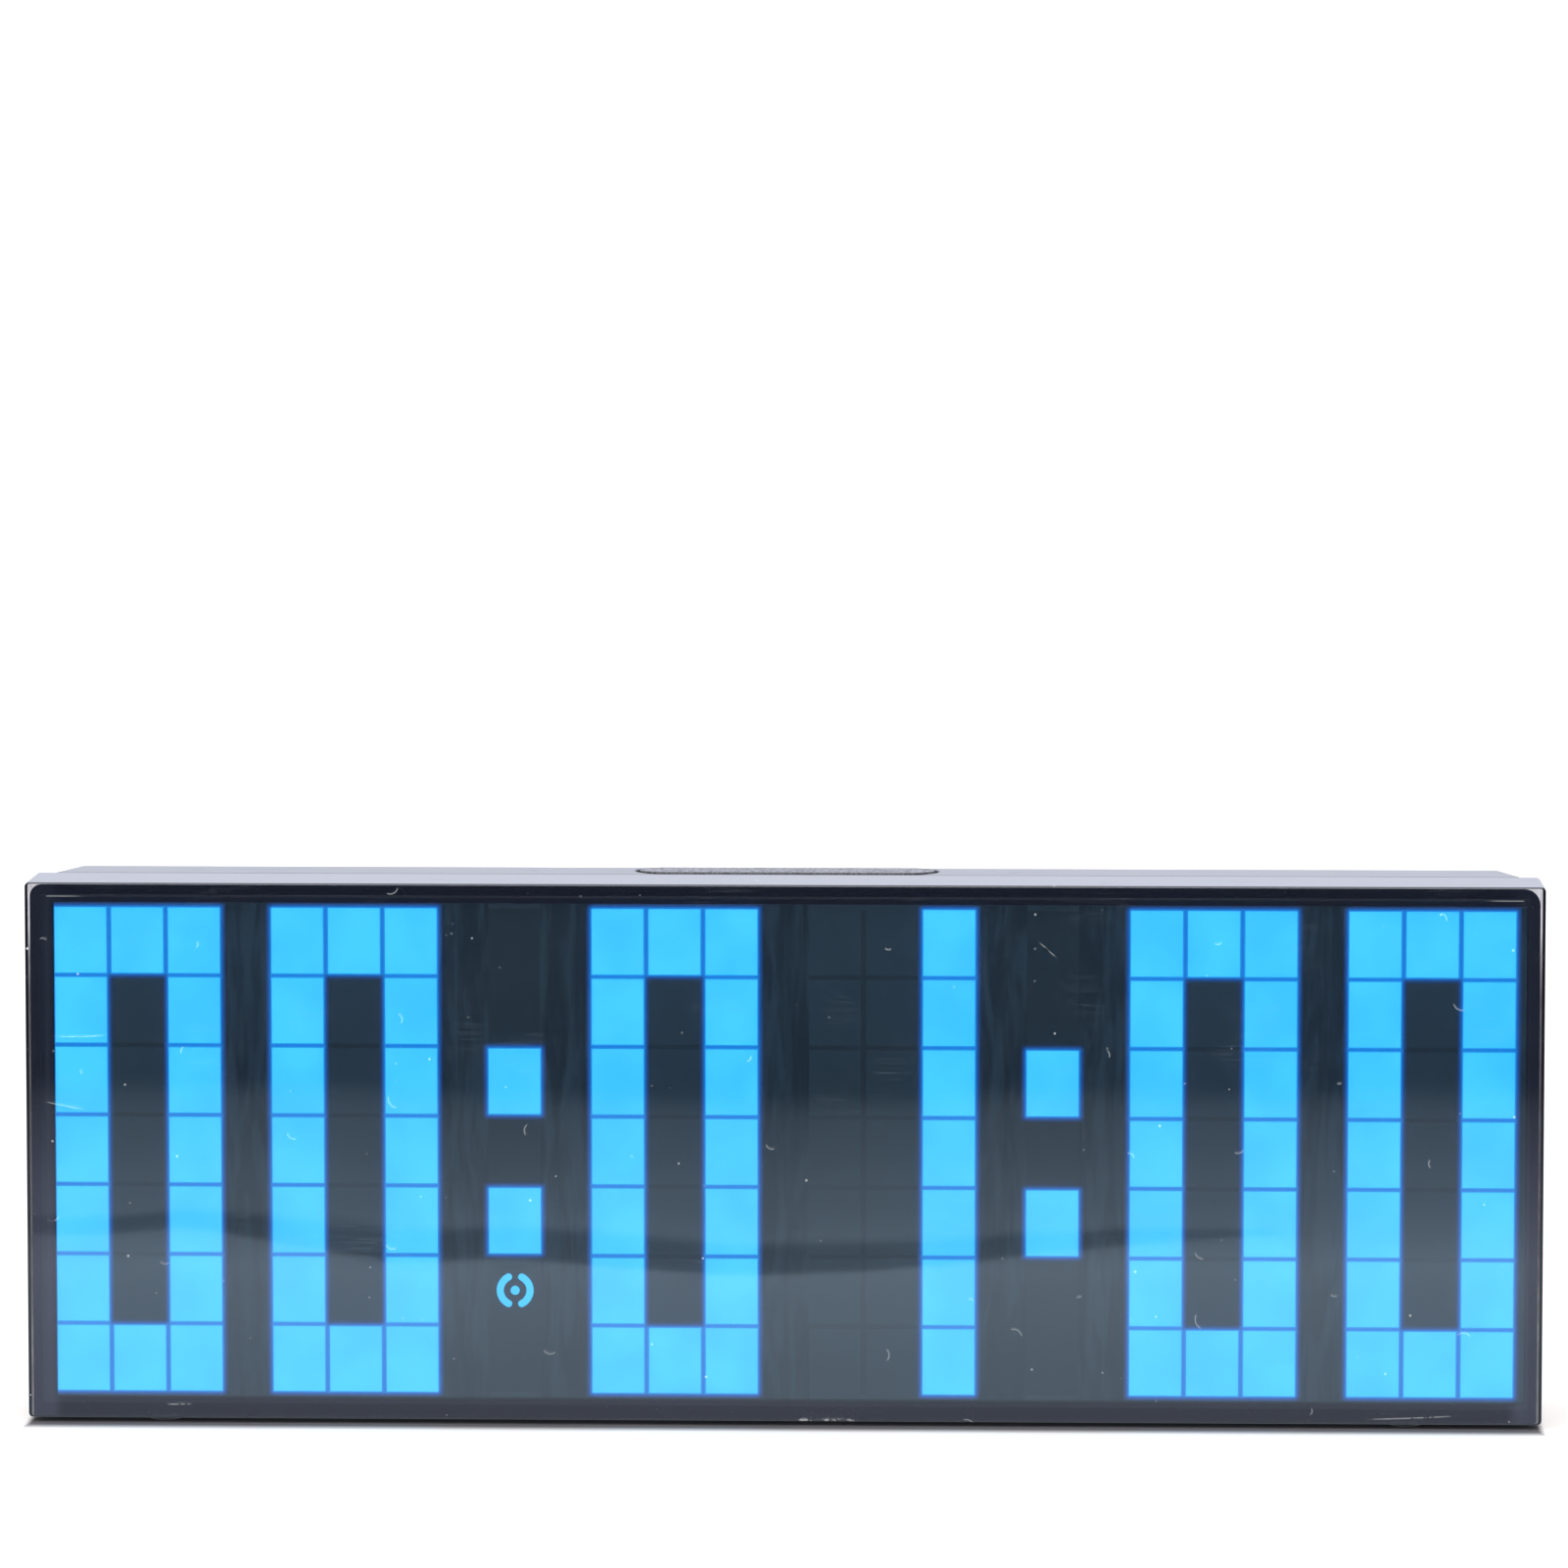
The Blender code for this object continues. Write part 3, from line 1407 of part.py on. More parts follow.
def make_tie(material):
    """A strap round all the turns, on the side of the coil nearest the clock."""
    room = cord_radius + fit_gap
    inner_low, inner_high = coil_low_z - room, coil_high_z + room
    near_y = coil_y - coil_outer_radius + coil_pitch / 2 - room
    far_y = coil_y - coil_inner_radius + room
    width, height = far_y - near_y, inner_high - inner_low
    hole = rounded_outline(width, height, room)
    strap = rounded_outline(width + 2 * tie_thickness, height + 2 * tie_thickness, room + tie_thickness)
    middle_y, middle_z = (near_y + far_y) / 2, (inner_low + inner_high) / 2
    near_x, far_x = coil_x - tie_width / 2, coil_x + tie_width / 2
    shape = bmesh.new()
    rings = []
    for outline, x in ((strap, near_x), (strap, far_x), (hole, far_x), (hole, near_x)):
        rings.append([shape.verts.new((x, middle_y + y, middle_z + z)) for y, z in outline])
    count = len(rings[0])
    for ring, following in zip(rings, rings[1:] + rings[:1]):
        for i in range(count):
            j = (i + 1) % count
            shape.faces.new((ring[i], ring[j], following[j], following[i]))
    place("cord_tie", shape, material)


def make_usb_plug(rubber, metal):
    """The plug at the far end: a grip moulded in one with its relief, and a hollow metal shell."""
    start, y, z = tail_end_x() + fit_gap, coil_far_y, coil_low_z
    body_start = start + usb_relief_length
    outline = rounded_outline(usb_body_width, usb_body_height, usb_body_corner)
    shape = bmesh.new()
    add_loft(shape, [(outline, 0), (outline, usb_body_length)])
    turn = Matrix.Translation((body_start, y, z)) @ Matrix.Rotation(-math.pi / 2, 4, "Z")
    bmesh.ops.transform(shape, matrix=turn, verts=shape.verts)
    plug = place("usb_plug", shape, rubber)
    relief = bmesh.new()
    length = usb_relief_length + overrun
    end_radius = cord_radius + 2 * fit_gap
    add_cylinder(relief, (start, y, z), (1, 0, 0), end_radius, length, small_sides, usb_relief_radius)
    join(plug, "usb_plug_relief", relief)
    shell_start = body_start + usb_body_length + fit_gap
    shell_end = shell_start + usb_shell_length
    width, height, wall = usb_shell_width, usb_shell_height, usb_shell_wall
    shape = bmesh.new()
    add_box(shape, ((shell_start + shell_end) / 2, y, z), (usb_shell_length, width, height))
    shell = place("usb_shell", shape, metal)
    hollow = bmesh.new()
    low = (shell_start + wall, y - width / 2 + wall, z - height / 2 + wall)
    high = (shell_end + overrun, y + width / 2 - wall, z + height / 2 - wall)
    box_between(hollow, low, high)
    cut(shell, "usb_shell_hollow", hollow)


def make_clock():
    clear_scene()
    smoked = plain_material("smoked_cover", (0.055, 0.07, 0.085), 0.06, see_through=0.6)
    shell = plain_material("black_shell", (0.02, 0.02, 0.024), 0.3)
    grip = plain_material("textured_bar", (0.09, 0.09, 0.095), 0.7)
    button = plain_material("button_plastic", (0.03, 0.03, 0.033), 0.5)
    rubber = plain_material("black_rubber", (0.018, 0.018, 0.02), 0.75)
    film = plain_material("slate_film", (0.16, 0.24, 0.3), 0.5)
    grid = plain_material("grid_plastic", (0.015, 0.015, 0.017), 0.6)
    milky = plain_material("lit_cell", (0.05, 0.6, 0.98), 0.5)
    board = plain_material("circuit_board", (0.02, 0.16, 0.07), 0.5)
    chip = plain_material("chip_black", (0.03, 0.03, 0.03), 0.6)
    metal = plain_material("bright_metal", (0.72, 0.72, 0.72), 0.3, metallic=1.0)
    ribbon = plain_material("ribbon_grey", (0.5, 0.5, 0.52), 0.6)
    socket = plain_material("socket_ivory", (0.75, 0.72, 0.62), 0.5)

    make_front_cover(smoked)
    make_display_film(film)
    make_light_grid(grid)
    make_diffusers(milky)
    make_led_board(board)
    make_led_drivers(chip)
    make_control_board(board, chip, metal, chip)
    make_post_screws(metal)
    make_switches(chip)
    make_snooze_board(board)
    make_snooze_lead(ribbon)
    make_ribbon(ribbon, socket)
    make_jack(chip)
    make_buzzer(chip)
    make_coin_cell(metal, metal)
    make_rear_cover(shell)
    make_battery_door(shell)
    make_snooze_bar(grip)
    make_buttons(button)
    make_feet(rubber)
    make_case_screws(metal)
    make_power_plug(rubber, metal)
    make_cord(rubber)
    make_tie(rubber)
    make_usb_plug(rubber, metal)


make_clock()
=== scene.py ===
# %% [markdown]
# # A digital alarm clock with a block display
# This clock is a long, low box that stands on a shelf. A smoked front cover, shaped like a shallow
# tray, fits over a glossy black rear cover. Behind the smoked face lies a slate-coloured film, and behind
# the film a frame of rectangular light cells makes up the digits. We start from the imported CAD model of
# the clock, keep what is right in it, and give every other piece a finer shape and a real finish.

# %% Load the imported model
import json
import math

import bmesh
import bpy
from mathutils import Matrix, Vector

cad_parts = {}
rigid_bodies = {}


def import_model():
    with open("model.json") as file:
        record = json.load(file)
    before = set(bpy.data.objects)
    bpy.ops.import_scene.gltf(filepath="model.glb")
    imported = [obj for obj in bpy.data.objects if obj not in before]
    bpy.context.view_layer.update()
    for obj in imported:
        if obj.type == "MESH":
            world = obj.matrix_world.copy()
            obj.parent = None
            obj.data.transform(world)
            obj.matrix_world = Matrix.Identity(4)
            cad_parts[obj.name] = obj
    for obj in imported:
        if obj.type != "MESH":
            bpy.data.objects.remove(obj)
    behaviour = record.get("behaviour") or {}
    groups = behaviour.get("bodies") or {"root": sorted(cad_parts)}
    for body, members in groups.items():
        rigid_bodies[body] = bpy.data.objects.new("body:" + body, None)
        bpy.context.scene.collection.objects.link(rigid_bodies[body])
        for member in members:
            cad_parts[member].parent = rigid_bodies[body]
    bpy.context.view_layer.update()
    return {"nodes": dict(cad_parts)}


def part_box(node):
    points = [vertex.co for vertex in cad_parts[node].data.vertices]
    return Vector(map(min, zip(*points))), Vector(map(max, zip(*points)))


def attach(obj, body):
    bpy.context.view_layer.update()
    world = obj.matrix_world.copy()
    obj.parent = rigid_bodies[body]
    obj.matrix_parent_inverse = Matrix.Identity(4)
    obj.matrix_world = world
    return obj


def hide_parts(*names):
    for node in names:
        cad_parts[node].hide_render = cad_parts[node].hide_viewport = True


for leftover in list(bpy.data.objects):
    bpy.data.objects.remove(leftover)
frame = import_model()
nodes = frame["nodes"]
scene = bpy.context.scene

# %% [markdown]
# ## The camera
# The picture is taken from far away with a long lens, from a little above the clock and a little to its
# right. A long lens keeps the upright edges almost parallel. The focal length, place and angles were found
# by setting the CAD corners against the corners in the picture, so they are odd numbers.

# %% Camera
camera_data = bpy.data.cameras.new("front_camera")
camera_data.lens = 185.93
camera_data.sensor_width = 36
camera = bpy.data.objects.new("front_camera", camera_data)
camera.location = (0.0637, -1.9499, 0.3340)
camera.rotation_euler = (math.radians(90 - 5.283), 0, math.radians(1.883))
scene.collection.objects.link(camera)
scene.camera = camera
scene.view_settings.view_transform = "Standard"
print("camera lens", camera_data.lens, "mm at", tuple(camera.location))

# %% [markdown]
# ## Helpers for shapes
# Most pieces start from a cube, or from a profile that is spun round an axis, as on a lathe. The edges are
# then rounded with a bevel, because no moulded edge is perfectly sharp and a rounded edge catches the light.
# Each helper does one such step with a bmesh operator, so that the cells below stay short. Sizes are given
# in millimetres, as a maker thinks of them, and the helpers turn them into metres.

# %% Boxes, turned shapes and rounded edges
mm = 0.001
weld_reach = mm / 1000
mostly_along, nearly_facing, sharp_angle = 0.9, 0.95, 0.3


def metres(place):
    """A place in millimetres as one in metres."""
    return Vector([value * mm for value in place])


def box_shape(low, high):
    """A closed box from its lowest to its highest corner."""
    low, high = metres(low), metres(high)
    shape = bmesh.new()
    place = Matrix.Translation((low + high) / 2) @ Matrix.Diagonal((*(high - low), 1))
    bmesh.ops.create_cube(shape, size=1, matrix=place)
    return shape


def stand(shape, place, axis, turn=0.0):
    """Turns a shape about z, lays its z along an axis and moves it to a place."""
    bmesh.ops.recalc_face_normals(shape, faces=shape.faces)
    lean = Vector((0, 0, 1)).rotation_difference(Vector(axis)).to_matrix().to_4x4()
    matrix = Matrix.Translation(metres(place)) @ lean @ Matrix.Rotation(turn, 4, "Z")
    bmesh.ops.transform(shape, matrix=matrix, verts=shape.verts)
    return shape


def turned_shape(profile, place, axis=(0, 1, 0), steps=64):
    """Spins a profile of (radius, height) points round an axis that starts at a place."""
    shape = bmesh.new()
    points = [shape.verts.new(metres((radius, 0, height))) for radius, height in profile]
    edges = [shape.edges.new(pair) for pair in zip(points, points[1:])]
    spun = {"axis": (0, 0, 1), "cent": (0, 0, 0), "angle": math.tau, "steps": steps}
    bmesh.ops.spin(shape, geom=points + edges, use_merge=True, **spun)
    bmesh.ops.remove_doubles(shape, verts=shape.verts, dist=weld_reach)
    on_axis = [edge for edge in shape.edges if not edge.link_faces]
    bmesh.ops.delete(shape, geom=on_axis, context="EDGES")
    return stand(shape, place, axis, math.pi / steps)


def ring_part(inner, outer, low, high, middle, half_angle, place):
    """A piece of a ring: a small face that is spun part of the way round."""
    shape = bmesh.new()
    corners = ((inner, low), (outer, low), (outer, high), (inner, high))
    verts = [shape.verts.new(metres((radius, 0, height))) for radius, height in corners]
    face = shape.faces.new(verts)
    bmesh.ops.rotate(shape, verts=verts, cent=(0, 0, 0), matrix=Matrix.Rotation(middle - half_angle, 3, "Z"))
    sweep = {"axis": (0, 0, 1), "cent": (0, 0, 0), "angle": 2 * half_angle, "steps": 10}
    bmesh.ops.spin(shape, geom=[*verts, *face.edges, face], **sweep)
    return stand(shape, place, (0, 1, 0))


def pull_apart(shape, middle, along, half):
    """Moves the two halves of a round shape apart, which makes a slot with round ends."""
    middle, along = metres(middle), Vector(along)
    for vert in shape.verts:
        side = 1 if (vert.co - middle).dot(along) > 0 else -1
        vert.co += along * (half * mm) * side
    return shape


def edges_along(shape, axis):
    """The edges that run mostly along one axis: 0 is x, 1 is y and 2 is z."""
    runs = [(edge, edge.verts[1].co - edge.verts[0].co) for edge in shape.edges]
    return [edge for edge, run in runs if abs(run[axis]) > mostly_along * run.length]


def faces_towards(shape, way):
    """The faces that look in a direction."""
    shape.normal_update()
    return [face for face in shape.faces if face.normal.dot(Vector(way)) > nearly_facing]


def open_faces(shape, *ways):
    """Takes out the faces that look in some directions."""
    gone = [face for way in ways for face in faces_towards(shape, way)]
    bmesh.ops.delete(shape, geom=gone, context="FACES")


def round_edges(shape, edges, radius, segments=4, affect="EDGES"):
    """Rounds edges or corners with a bevel."""
    rounding = {"offset": radius * mm, "segments": segments, "profile": 0.5, "material": -1}
    bmesh.ops.bevel(shape, geom=edges, affect=affect, **rounding)


def round_rim(shape, way, radius, segments=4):
    """Rounds the sharp edges round the faces that look in a direction."""
    rim = {edge for face in faces_towards(shape, way) for edge in face.edges}
    sharp = [edge for edge in rim if edge.calc_face_angle(0) > sharp_angle]
    round_edges(shape, sharp, radius, segments)


def rounded_box(low, high, radius, segments=3):
    """A box with all its edges rounded."""
    shape = box_shape(low, high)
    round_edges(shape, list(shape.edges), radius, segments)
    return shape


def join_shapes(first, *others):
    """Copies other shapes into the first one."""
    for other in others:
        carrier = bpy.data.meshes.new("carrier")
        other.to_mesh(carrier)
        other.free()
        first.from_mesh(carrier)
        bpy.data.meshes.remove(carrier)
    return first


print("shape helpers are ready")

# %% [markdown]
# ## Helpers for pieces
# A finished piece is an object at the origin whose place is in its mesh, just like a CAD node. It rides on
# one of the clock's bodies, takes the finishes that it is given, and may stand for a CAD node, which is then
# hidden. Holes are cut with Boolean modifiers that are applied straight away, and weighted normals keep the
# large faces flat in the shading, so that only the rounded edges bend the light.


# %% Pieces, holes and finishes
def link_mesh(name, shape):
    """Turns a shape into an object."""
    mesh = bpy.data.meshes.new(name)
    shape.to_mesh(mesh)
    shape.free()
    made = bpy.data.objects.new(name, mesh)
    scene.collection.objects.link(made)
    return made


def add_modifier(piece, kind, **settings):
    """Adds a modifier with its settings."""
    step = piece.modifiers.new(kind.lower(), kind)
    for name, value in settings.items():
        setattr(step, name, value)


def apply_modifiers(piece):
    """Puts the result of a piece's modifiers into its mesh."""
    bpy.context.view_layer.update()
    graph = bpy.context.evaluated_depsgraph_get()
    result = bpy.data.meshes.new_from_object(piece.evaluated_get(graph))
    piece.modifiers.clear()
    piece.data = result


def carve(piece, cutters, operation="DIFFERENCE"):
    """Cuts shapes out of a piece, or adds them to it, and then drops them."""
    used = [link_mesh("cutter", cutter) for cutter in cutters]
    for cutter in used:
        add_modifier(piece, "BOOLEAN", operation=operation, solver="EXACT", object=cutter)
    apply_modifiers(piece)
    for cutter in used:
        bpy.data.objects.remove(cutter)


def thicken(piece, depth):
    """Gives a sheet its thickness, inwards from its face."""
    add_modifier(piece, "SOLIDIFY", thickness=depth * mm, offset=-1)
    apply_modifiers(piece)


def dress(piece, body, finishes, slot, stands_for=(), sharp=32):
    """Gives a piece its finishes and smooth shading, and hangs it on its body."""
    finishes = finishes if isinstance(finishes, list) else [finishes]
    slots = piece.data.materials
    while len(slots) > len(finishes):
        slots.pop()
    for number, finish in enumerate(finishes):
        if number < len(slots):
            slots[number] = finish
        else:
            slots.append(finish)
    if piece.type == "MESH":
        piece.data.shade_smooth()
        piece.data.set_sharp_from_angle(angle=math.radians(sharp))
        add_modifier(piece, "WEIGHTED_NORMAL", keep_sharp=True, weight=100)
        apply_modifiers(piece)
        print(piece.name, "has", len(piece.data.polygons), "faces")
    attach(piece, body)
    if stands_for:
        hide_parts(*stands_for)
    return piece


def make_piece(name, shape, *dressing):
    """Links a shape as a piece and dresses it."""
    return dress(link_mesh(name, shape), *dressing)


print("piece helpers are ready")

# %% [markdown]
# ## Helpers for finishes
# A finish is a small graph of shader nodes. Writing each node by hand takes many lines, so these helpers
# add one node and join up its inputs in a single call. What a node gives is wrapped up as a signal, and
# arithmetic with signals adds the Math nodes that work it out. A colour is three numbers.


# %% Signals and nodes
class Signal:
    """What a node gives, and the graph that it is in."""

    def __init__(self, socket):
        self.socket = socket
        self.tree = socket.id_data

    def __add__(self, other):
        return maths("ADD", self, other)

    def __sub__(self, other):
        return maths("SUBTRACT", self, other)

    def __mul__(self, other):
        return maths("MULTIPLY", self, other)

    def __truediv__(self, other):
        return maths("DIVIDE", self, other)

    def __abs__(self):
        return maths("ABSOLUTE", self)


def fill(sockets, values):
    """Sets inputs: a signal is linked, and a plain value is written on the socket."""
    for name, value in values.items():
        if isinstance(value, Signal):
            value.tree.links.new(value.socket, sockets[name])
        else:
            sockets[name].default_value = (*value, 1) if sockets[name].type == "RGBA" else value


def add_node(kind, inputs, *wanted, tree=None, **settings):
    """Adds a node to the graph that its inputs come from, and gives the outputs that are wanted."""
    tree = tree or next(value.tree for value in inputs.values() if isinstance(value, Signal))
    made = tree.nodes.new("ShaderNode" + kind)
    for name, value in settings.items():
        setattr(made, name, value)
    fill(made.inputs, inputs)
    signals = [Signal(made.outputs[name]) for name in wanted or [0]]
    return signals if len(signals) > 1 else signals[0]


def maths(operation, *values, clamp=False):
    """One Math node."""
    return add_node("Math", dict(enumerate(values)), operation=operation, use_clamp=clamp)


def scaled(value, factor, extra, clamp=False):
    """A value times a factor, plus something extra."""
    return maths("MULTIPLY_ADD", value, factor, extra, clamp=clamp)


def largest(first, *others):
    """The largest of a few values."""
    for other in others:
        first = maths("MAXIMUM", first, other)
    return first


def blend(share, first, second, way="MIX"):
    """Mixes two colours; a share of 0 gives the first one."""
    return add_node("Mix", {0: share, 6: first, 7: second}, 2, data_type="RGBA", blend_type=way)


def grey(level):
    """A grey from a value."""
    return add_node("CombineColor", {0: level, 1: level, 2: level})


def fade(value, low, high, start=0.0, end=1.0):
    """Goes softly from start to end as a value goes from low to high."""
    inputs = {"Value": value, "From Min": low, "From Max": high, "To Min": start, "To Max": end}
    return add_node("MapRange", inputs, interpolation_type="SMOOTHSTEP")


def ramp(value, stops, way="LINEAR"):
    """A colour ramp with (position, colour or grey) stops."""
    made = add_node("ValToRGB", {0: value})
    colours = made.socket.node.color_ramp
    colours.interpolation = way
    colours.elements.remove(colours.elements[1])
    for number, (position, colour) in enumerate(stops):
        element = colours.elements.new(position) if number else colours.elements[0]
        element.position = position
        element.color = (*colour, 1) if isinstance(colour, tuple) else (colour, colour, colour, 1)
    return made


def axes(place):
    """The x, y and z of a place, in metres."""
    return add_node("SeparateXYZ", {0: place}, 0, 1, 2)


def stretched(place, scale, turn=(0, 0, 0)):
    """A place with its own scale on each axis, so that a pattern grows long."""
    return add_node("Mapping", {"Vector": place, "Rotation": turn, "Scale": scale})


def noise(place, scale, detail=2.0, roughness=0.5, distortion=0.0):
    """Cloudy noise round one half."""
    look = {"Detail": detail, "Roughness": roughness, "Distortion": distortion}
    return add_node("TexNoise", {"Vector": place, "Scale": scale, **look})


def scattered(place, scale, *wanted, **settings):
    """Randomly placed cells, with their distance, colour or position."""
    return add_node("TexVoronoi", {"Vector": place, "Scale": scale}, *wanted, **settings)


def bump(height, distance, **more):
    """A normal that is bent by a height, in metres."""
    return add_node("Bump", {"Height": height, "Distance": distance, **more})


def start_finish(name, roughness, metallic=0.0, **plain):
    """A new material, the inputs of its shader, and the place on the object."""
    material = bpy.data.materials.new(name)
    material.use_nodes = True
    tree = material.node_tree
    sockets = tree.nodes["Principled BSDF"].inputs
    values = {label.replace("_", " "): value for label, value in plain.items()}
    fill(sockets, {"Roughness": roughness, "Metallic": metallic, **values})
    return material, sockets, add_node("TexCoord", {}, "Object", tree=tree)


print("node helpers are ready")

# %% [markdown]
# ## Shared effects
# A shared effect is a node group: it is built once, and each material places it with its own values. We
# write it as a function of the place and its amounts, and the helper puts what the function adds into a
# group of the same name. After that, calling the name places the group.
#
# Five effects turn up on many surfaces. Moulded grain is the fine texture of a spark-eroded mould. Scuffs
# are hairline marks in a few directions. Dust lies as tiny pale specks, which come from the places where
# small spheres in space cross the surface. Worn edges come from the difference between the surface's
# normal and a bevelled one. Patchy tone keeps a large plain surface from looking like paper.


# %% Node groups from functions
def shared_effect(result, **amounts):
    """Builds a node group from a function; its inputs are a place and amounts with their usual values."""

    def build(recipe):
        tree = bpy.data.node_groups.new(recipe.__name__, "ShaderNodeTree")
        new_socket = tree.interface.new_socket
        new_socket("Place", in_out="INPUT", socket_type="NodeSocketVector")
        for label, usual in amounts.items():
            new_socket(label, in_out="INPUT", socket_type="NodeSocketFloat").default_value = usual
        new_socket(result, in_out="OUTPUT", socket_type="NodeSocketFloat")
        given = tree.nodes.new("NodeGroupInput").outputs
        made = recipe(*[Signal(given[label]) for label in ("Place", *amounts)])
        fill(tree.nodes.new("NodeGroupOutput").inputs, {result: made})
        print("shared effect", recipe.__name__, "gives its", result)
        return lambda place, **values: add_node("Group", {"Place": place, **values}, node_tree=tree)

    return build


# %% Grain and patchy tone
@shared_effect("Height", Scale=2000.0)
def moulded_grain(place, scale):
    """Fine noise over small cells."""
    fine = noise(place, scale, 3.0, 0.6)
    return scaled(scattered(place, scale, "Distance", feature="SMOOTH_F1"), 0.6, fine)


@shared_effect("Tone", Scale=20.0)
def patchy_tone(place, scale):
    """Soft clouds."""
    return fade(noise(place, scale, 4.0, 0.55, 0.4), 0.3, 0.7)


# %% Hairline scuffs
@shared_effect("Mask", Amount=0.5)
def hairline_scuffs(place, amount):
    """Thin lines where a stretched noise passes one half, in three directions and with gaps."""
    lines = []
    for turn in ((0.3, 0.1, 0.4), (1.1, 0.7, 2.0), (0.2, 1.3, 0.9)):
        along = stretched(place, (14, 420, 420), turn)
        near_level = abs(noise(along, 1.0, 1.0) - 0.5)
        lines.append(fade(near_level, 0.001, 0.006, 1.0, 0.0))
    gaps = fade(noise(place, 70.0, 2.0), 0.52, 0.66)
    return largest(*lines) * gaps * amount


# %% Dust specks and worn edges
@shared_effect("Mask", Scale=125.0, Size=0.02)
def dust_specks(place, scale, size):
    """Small spheres of random size."""
    colour, distance = scattered(place, scale, "Color", "Distance")
    random_size = add_node("SeparateColor", {0: colour})
    return fade(size * random_size - distance, 0.0, 0.004)


@shared_effect("Mask", Reach=0.0006)
def worn_edges(place, reach):
    """Broken patches where a rounded normal differs from the plain one."""
    soft_normal = add_node("Bevel", {"Radius": reach}, samples=4)
    plain_normal = add_node("NewGeometry", {}, "Normal", tree=place.tree)
    likeness = add_node("VectorMath", {0: soft_normal, 1: plain_normal}, "Value", operation="DOT_PRODUCT")
    broken = fade(noise(place, 900.0, 3.0, 0.7), 0.42, 0.6)
    return fade(likeness, 0.8, 0.99, 1.0, 0.0) * broken


# %% [markdown]
# ## Moulded plastic
# Most of the clock is moulded plastic in one black or another: glossy shell, satin buttons, rubbery cord.
# They differ in colour, gloss and grain but are built alike, so one function makes them all. The base
# colour shifts slightly over the surface, the edges turn paler where they rub, scuffs and dust change the
# roughness as well as the colour, and the grain goes through a Bump node.


# %% One recipe for moulded finishes
def moulded_finish(name, colour, roughness, grain, depth, scuffs=0.3, dust=0.02, wear=0.4, **plain):
    """A moulded plastic or rubber; grain is the scale of its texture, and depth is how deep that is."""
    material, sockets, place = start_finish(name, roughness, **plain)
    tone = patchy_tone(place, Scale=35.0)
    scratch = hairline_scuffs(place, Amount=scuffs)
    speck = dust_specks(place, Size=dust)
    darker = [channel * 0.86 for channel in colour]
    pale = [min(1.0, channel * 1.6 + 0.03) for channel in colour]
    base = blend(worn_edges(place) * wear, blend(tone, darker, colour), pale)
    base = blend(scratch * 0.25, base, pale)
    uneven = fade(tone, 0.0, 1.0, roughness * 0.88, roughness * 1.1)
    height = scaled(scratch, -0.6, moulded_grain(place, Scale=grain))
    fill(sockets, {
        "Base Color": blend(speck, base, (0.62, 0.62, 0.6)),
        "Roughness": scaled(largest(scratch, speck), 0.35, uneven, clamp=True),
        "Normal": bump(height, depth),
    })
    print("finish", name, "has roughness", roughness)
    return material


glossy_shell = moulded_finish("glossy_black_shell", (0.013, 0.014, 0.018), 0.1, 900, 0.000004, 0.5, IOR=1.62)
etched_shell = moulded_finish("etched_black_shell", (0.016, 0.017, 0.021), 0.38, 1500, 0.00003, 0.2)
satin_button = moulded_finish("satin_button", (0.03, 0.03, 0.033), 0.42, 2600, 0.00003, 0.3)
soft_rubber = moulded_finish("soft_foot_rubber", (0.02, 0.02, 0.021), 0.72, 1800, 0.00006, 0.1, 0.03)
plug_rubber = moulded_finish("plug_rubber", (0.016, 0.016, 0.018), 0.5, 2200, 0.00004, 0.25)
grid_plastic = moulded_finish("grid_plastic", (0.011, 0.013, 0.018), 0.55, 2400, 0.00003, 0.2, 0.0)
chip_black = moulded_finish("chip_black", (0.024, 0.024, 0.026), 0.5, 5200, 0.00002, 0.1)
socket_ivory = moulded_finish("socket_ivory", (0.68, 0.63, 0.5), 0.4, 2600, 0.00002, 0.2)

# %% [markdown]
# ## The smoked cover's finish
# The front cover is clear acrylic with a dark grey-blue dye. Glass with real transmission would need a
# thick solid and many light paths, so this finish is a dark glossy plastic that lets half of the light
# through at each skin. A high IOR gives the strong mirror that the picture shows. Very slow waves in a
# Bump node bend the reflection, as a moulded sheet does. Dust, loose fibres and scuffs lie on the skin, and
# a few long scratches and some chips at the lower edge are drawn one by one. The border round the window
# has a thin painted highlight on its step, brightest near its ends, and its lower sides are painted lighter
# as a painted reflection. The rim beyond it is pale and opaque: a painted highlight, brightest along the top.


# %% Loose fibres
@shared_effect("Mask", Scale=40.0)
def loose_fibres(place, scale):
    """A short arc in some of the cells of a flat pattern."""
    x, _, z = axes(place)
    flat = add_node("CombineXYZ", {0: x, 1: z})
    position, colour = scattered(flat, scale, "Position", "Color", voronoi_dimensions="2D")
    from_middle = add_node("VectorMath", {0: flat, 1: position}, operation="SUBTRACT")
    away = add_node("VectorMath", {0: from_middle}, "Value", operation="LENGTH")
    picked, size, start = add_node("SeparateColor", {0: colour}, 0, 1, 2)
    thread = fade(abs(away - scaled(size, 0.0018, 0.0006)), 0.00006, 0.00014, 1.0, 0.0)
    right, up, _ = axes(from_middle)
    turned = maths("WRAP", scaled(start, math.tau, maths("ARCTAN2", up, right)), math.pi, -math.pi)
    arc = fade(abs(turned), 0.7, 1.0, 1.0, 0.0)
    return thread * arc * maths("GREATER_THAN", picked, 0.55)


# %% Long scratches and chips
# Each scratch has a start, an end, a height, a slope and a curve, in millimetres.
scratch_runs = [
    (-176.2, -162.3, 94.0, -0.06, 0.006), (-178.5, -167.9, 78.2, -0.22, 0.002),
    (-149.6, -142.5, 4.5, 0.01, 0.0), (139.5, 163.0, 2.4, 0.02, 0.001), (61.0, 66.0, 118.0, -0.9, 0.0),
]


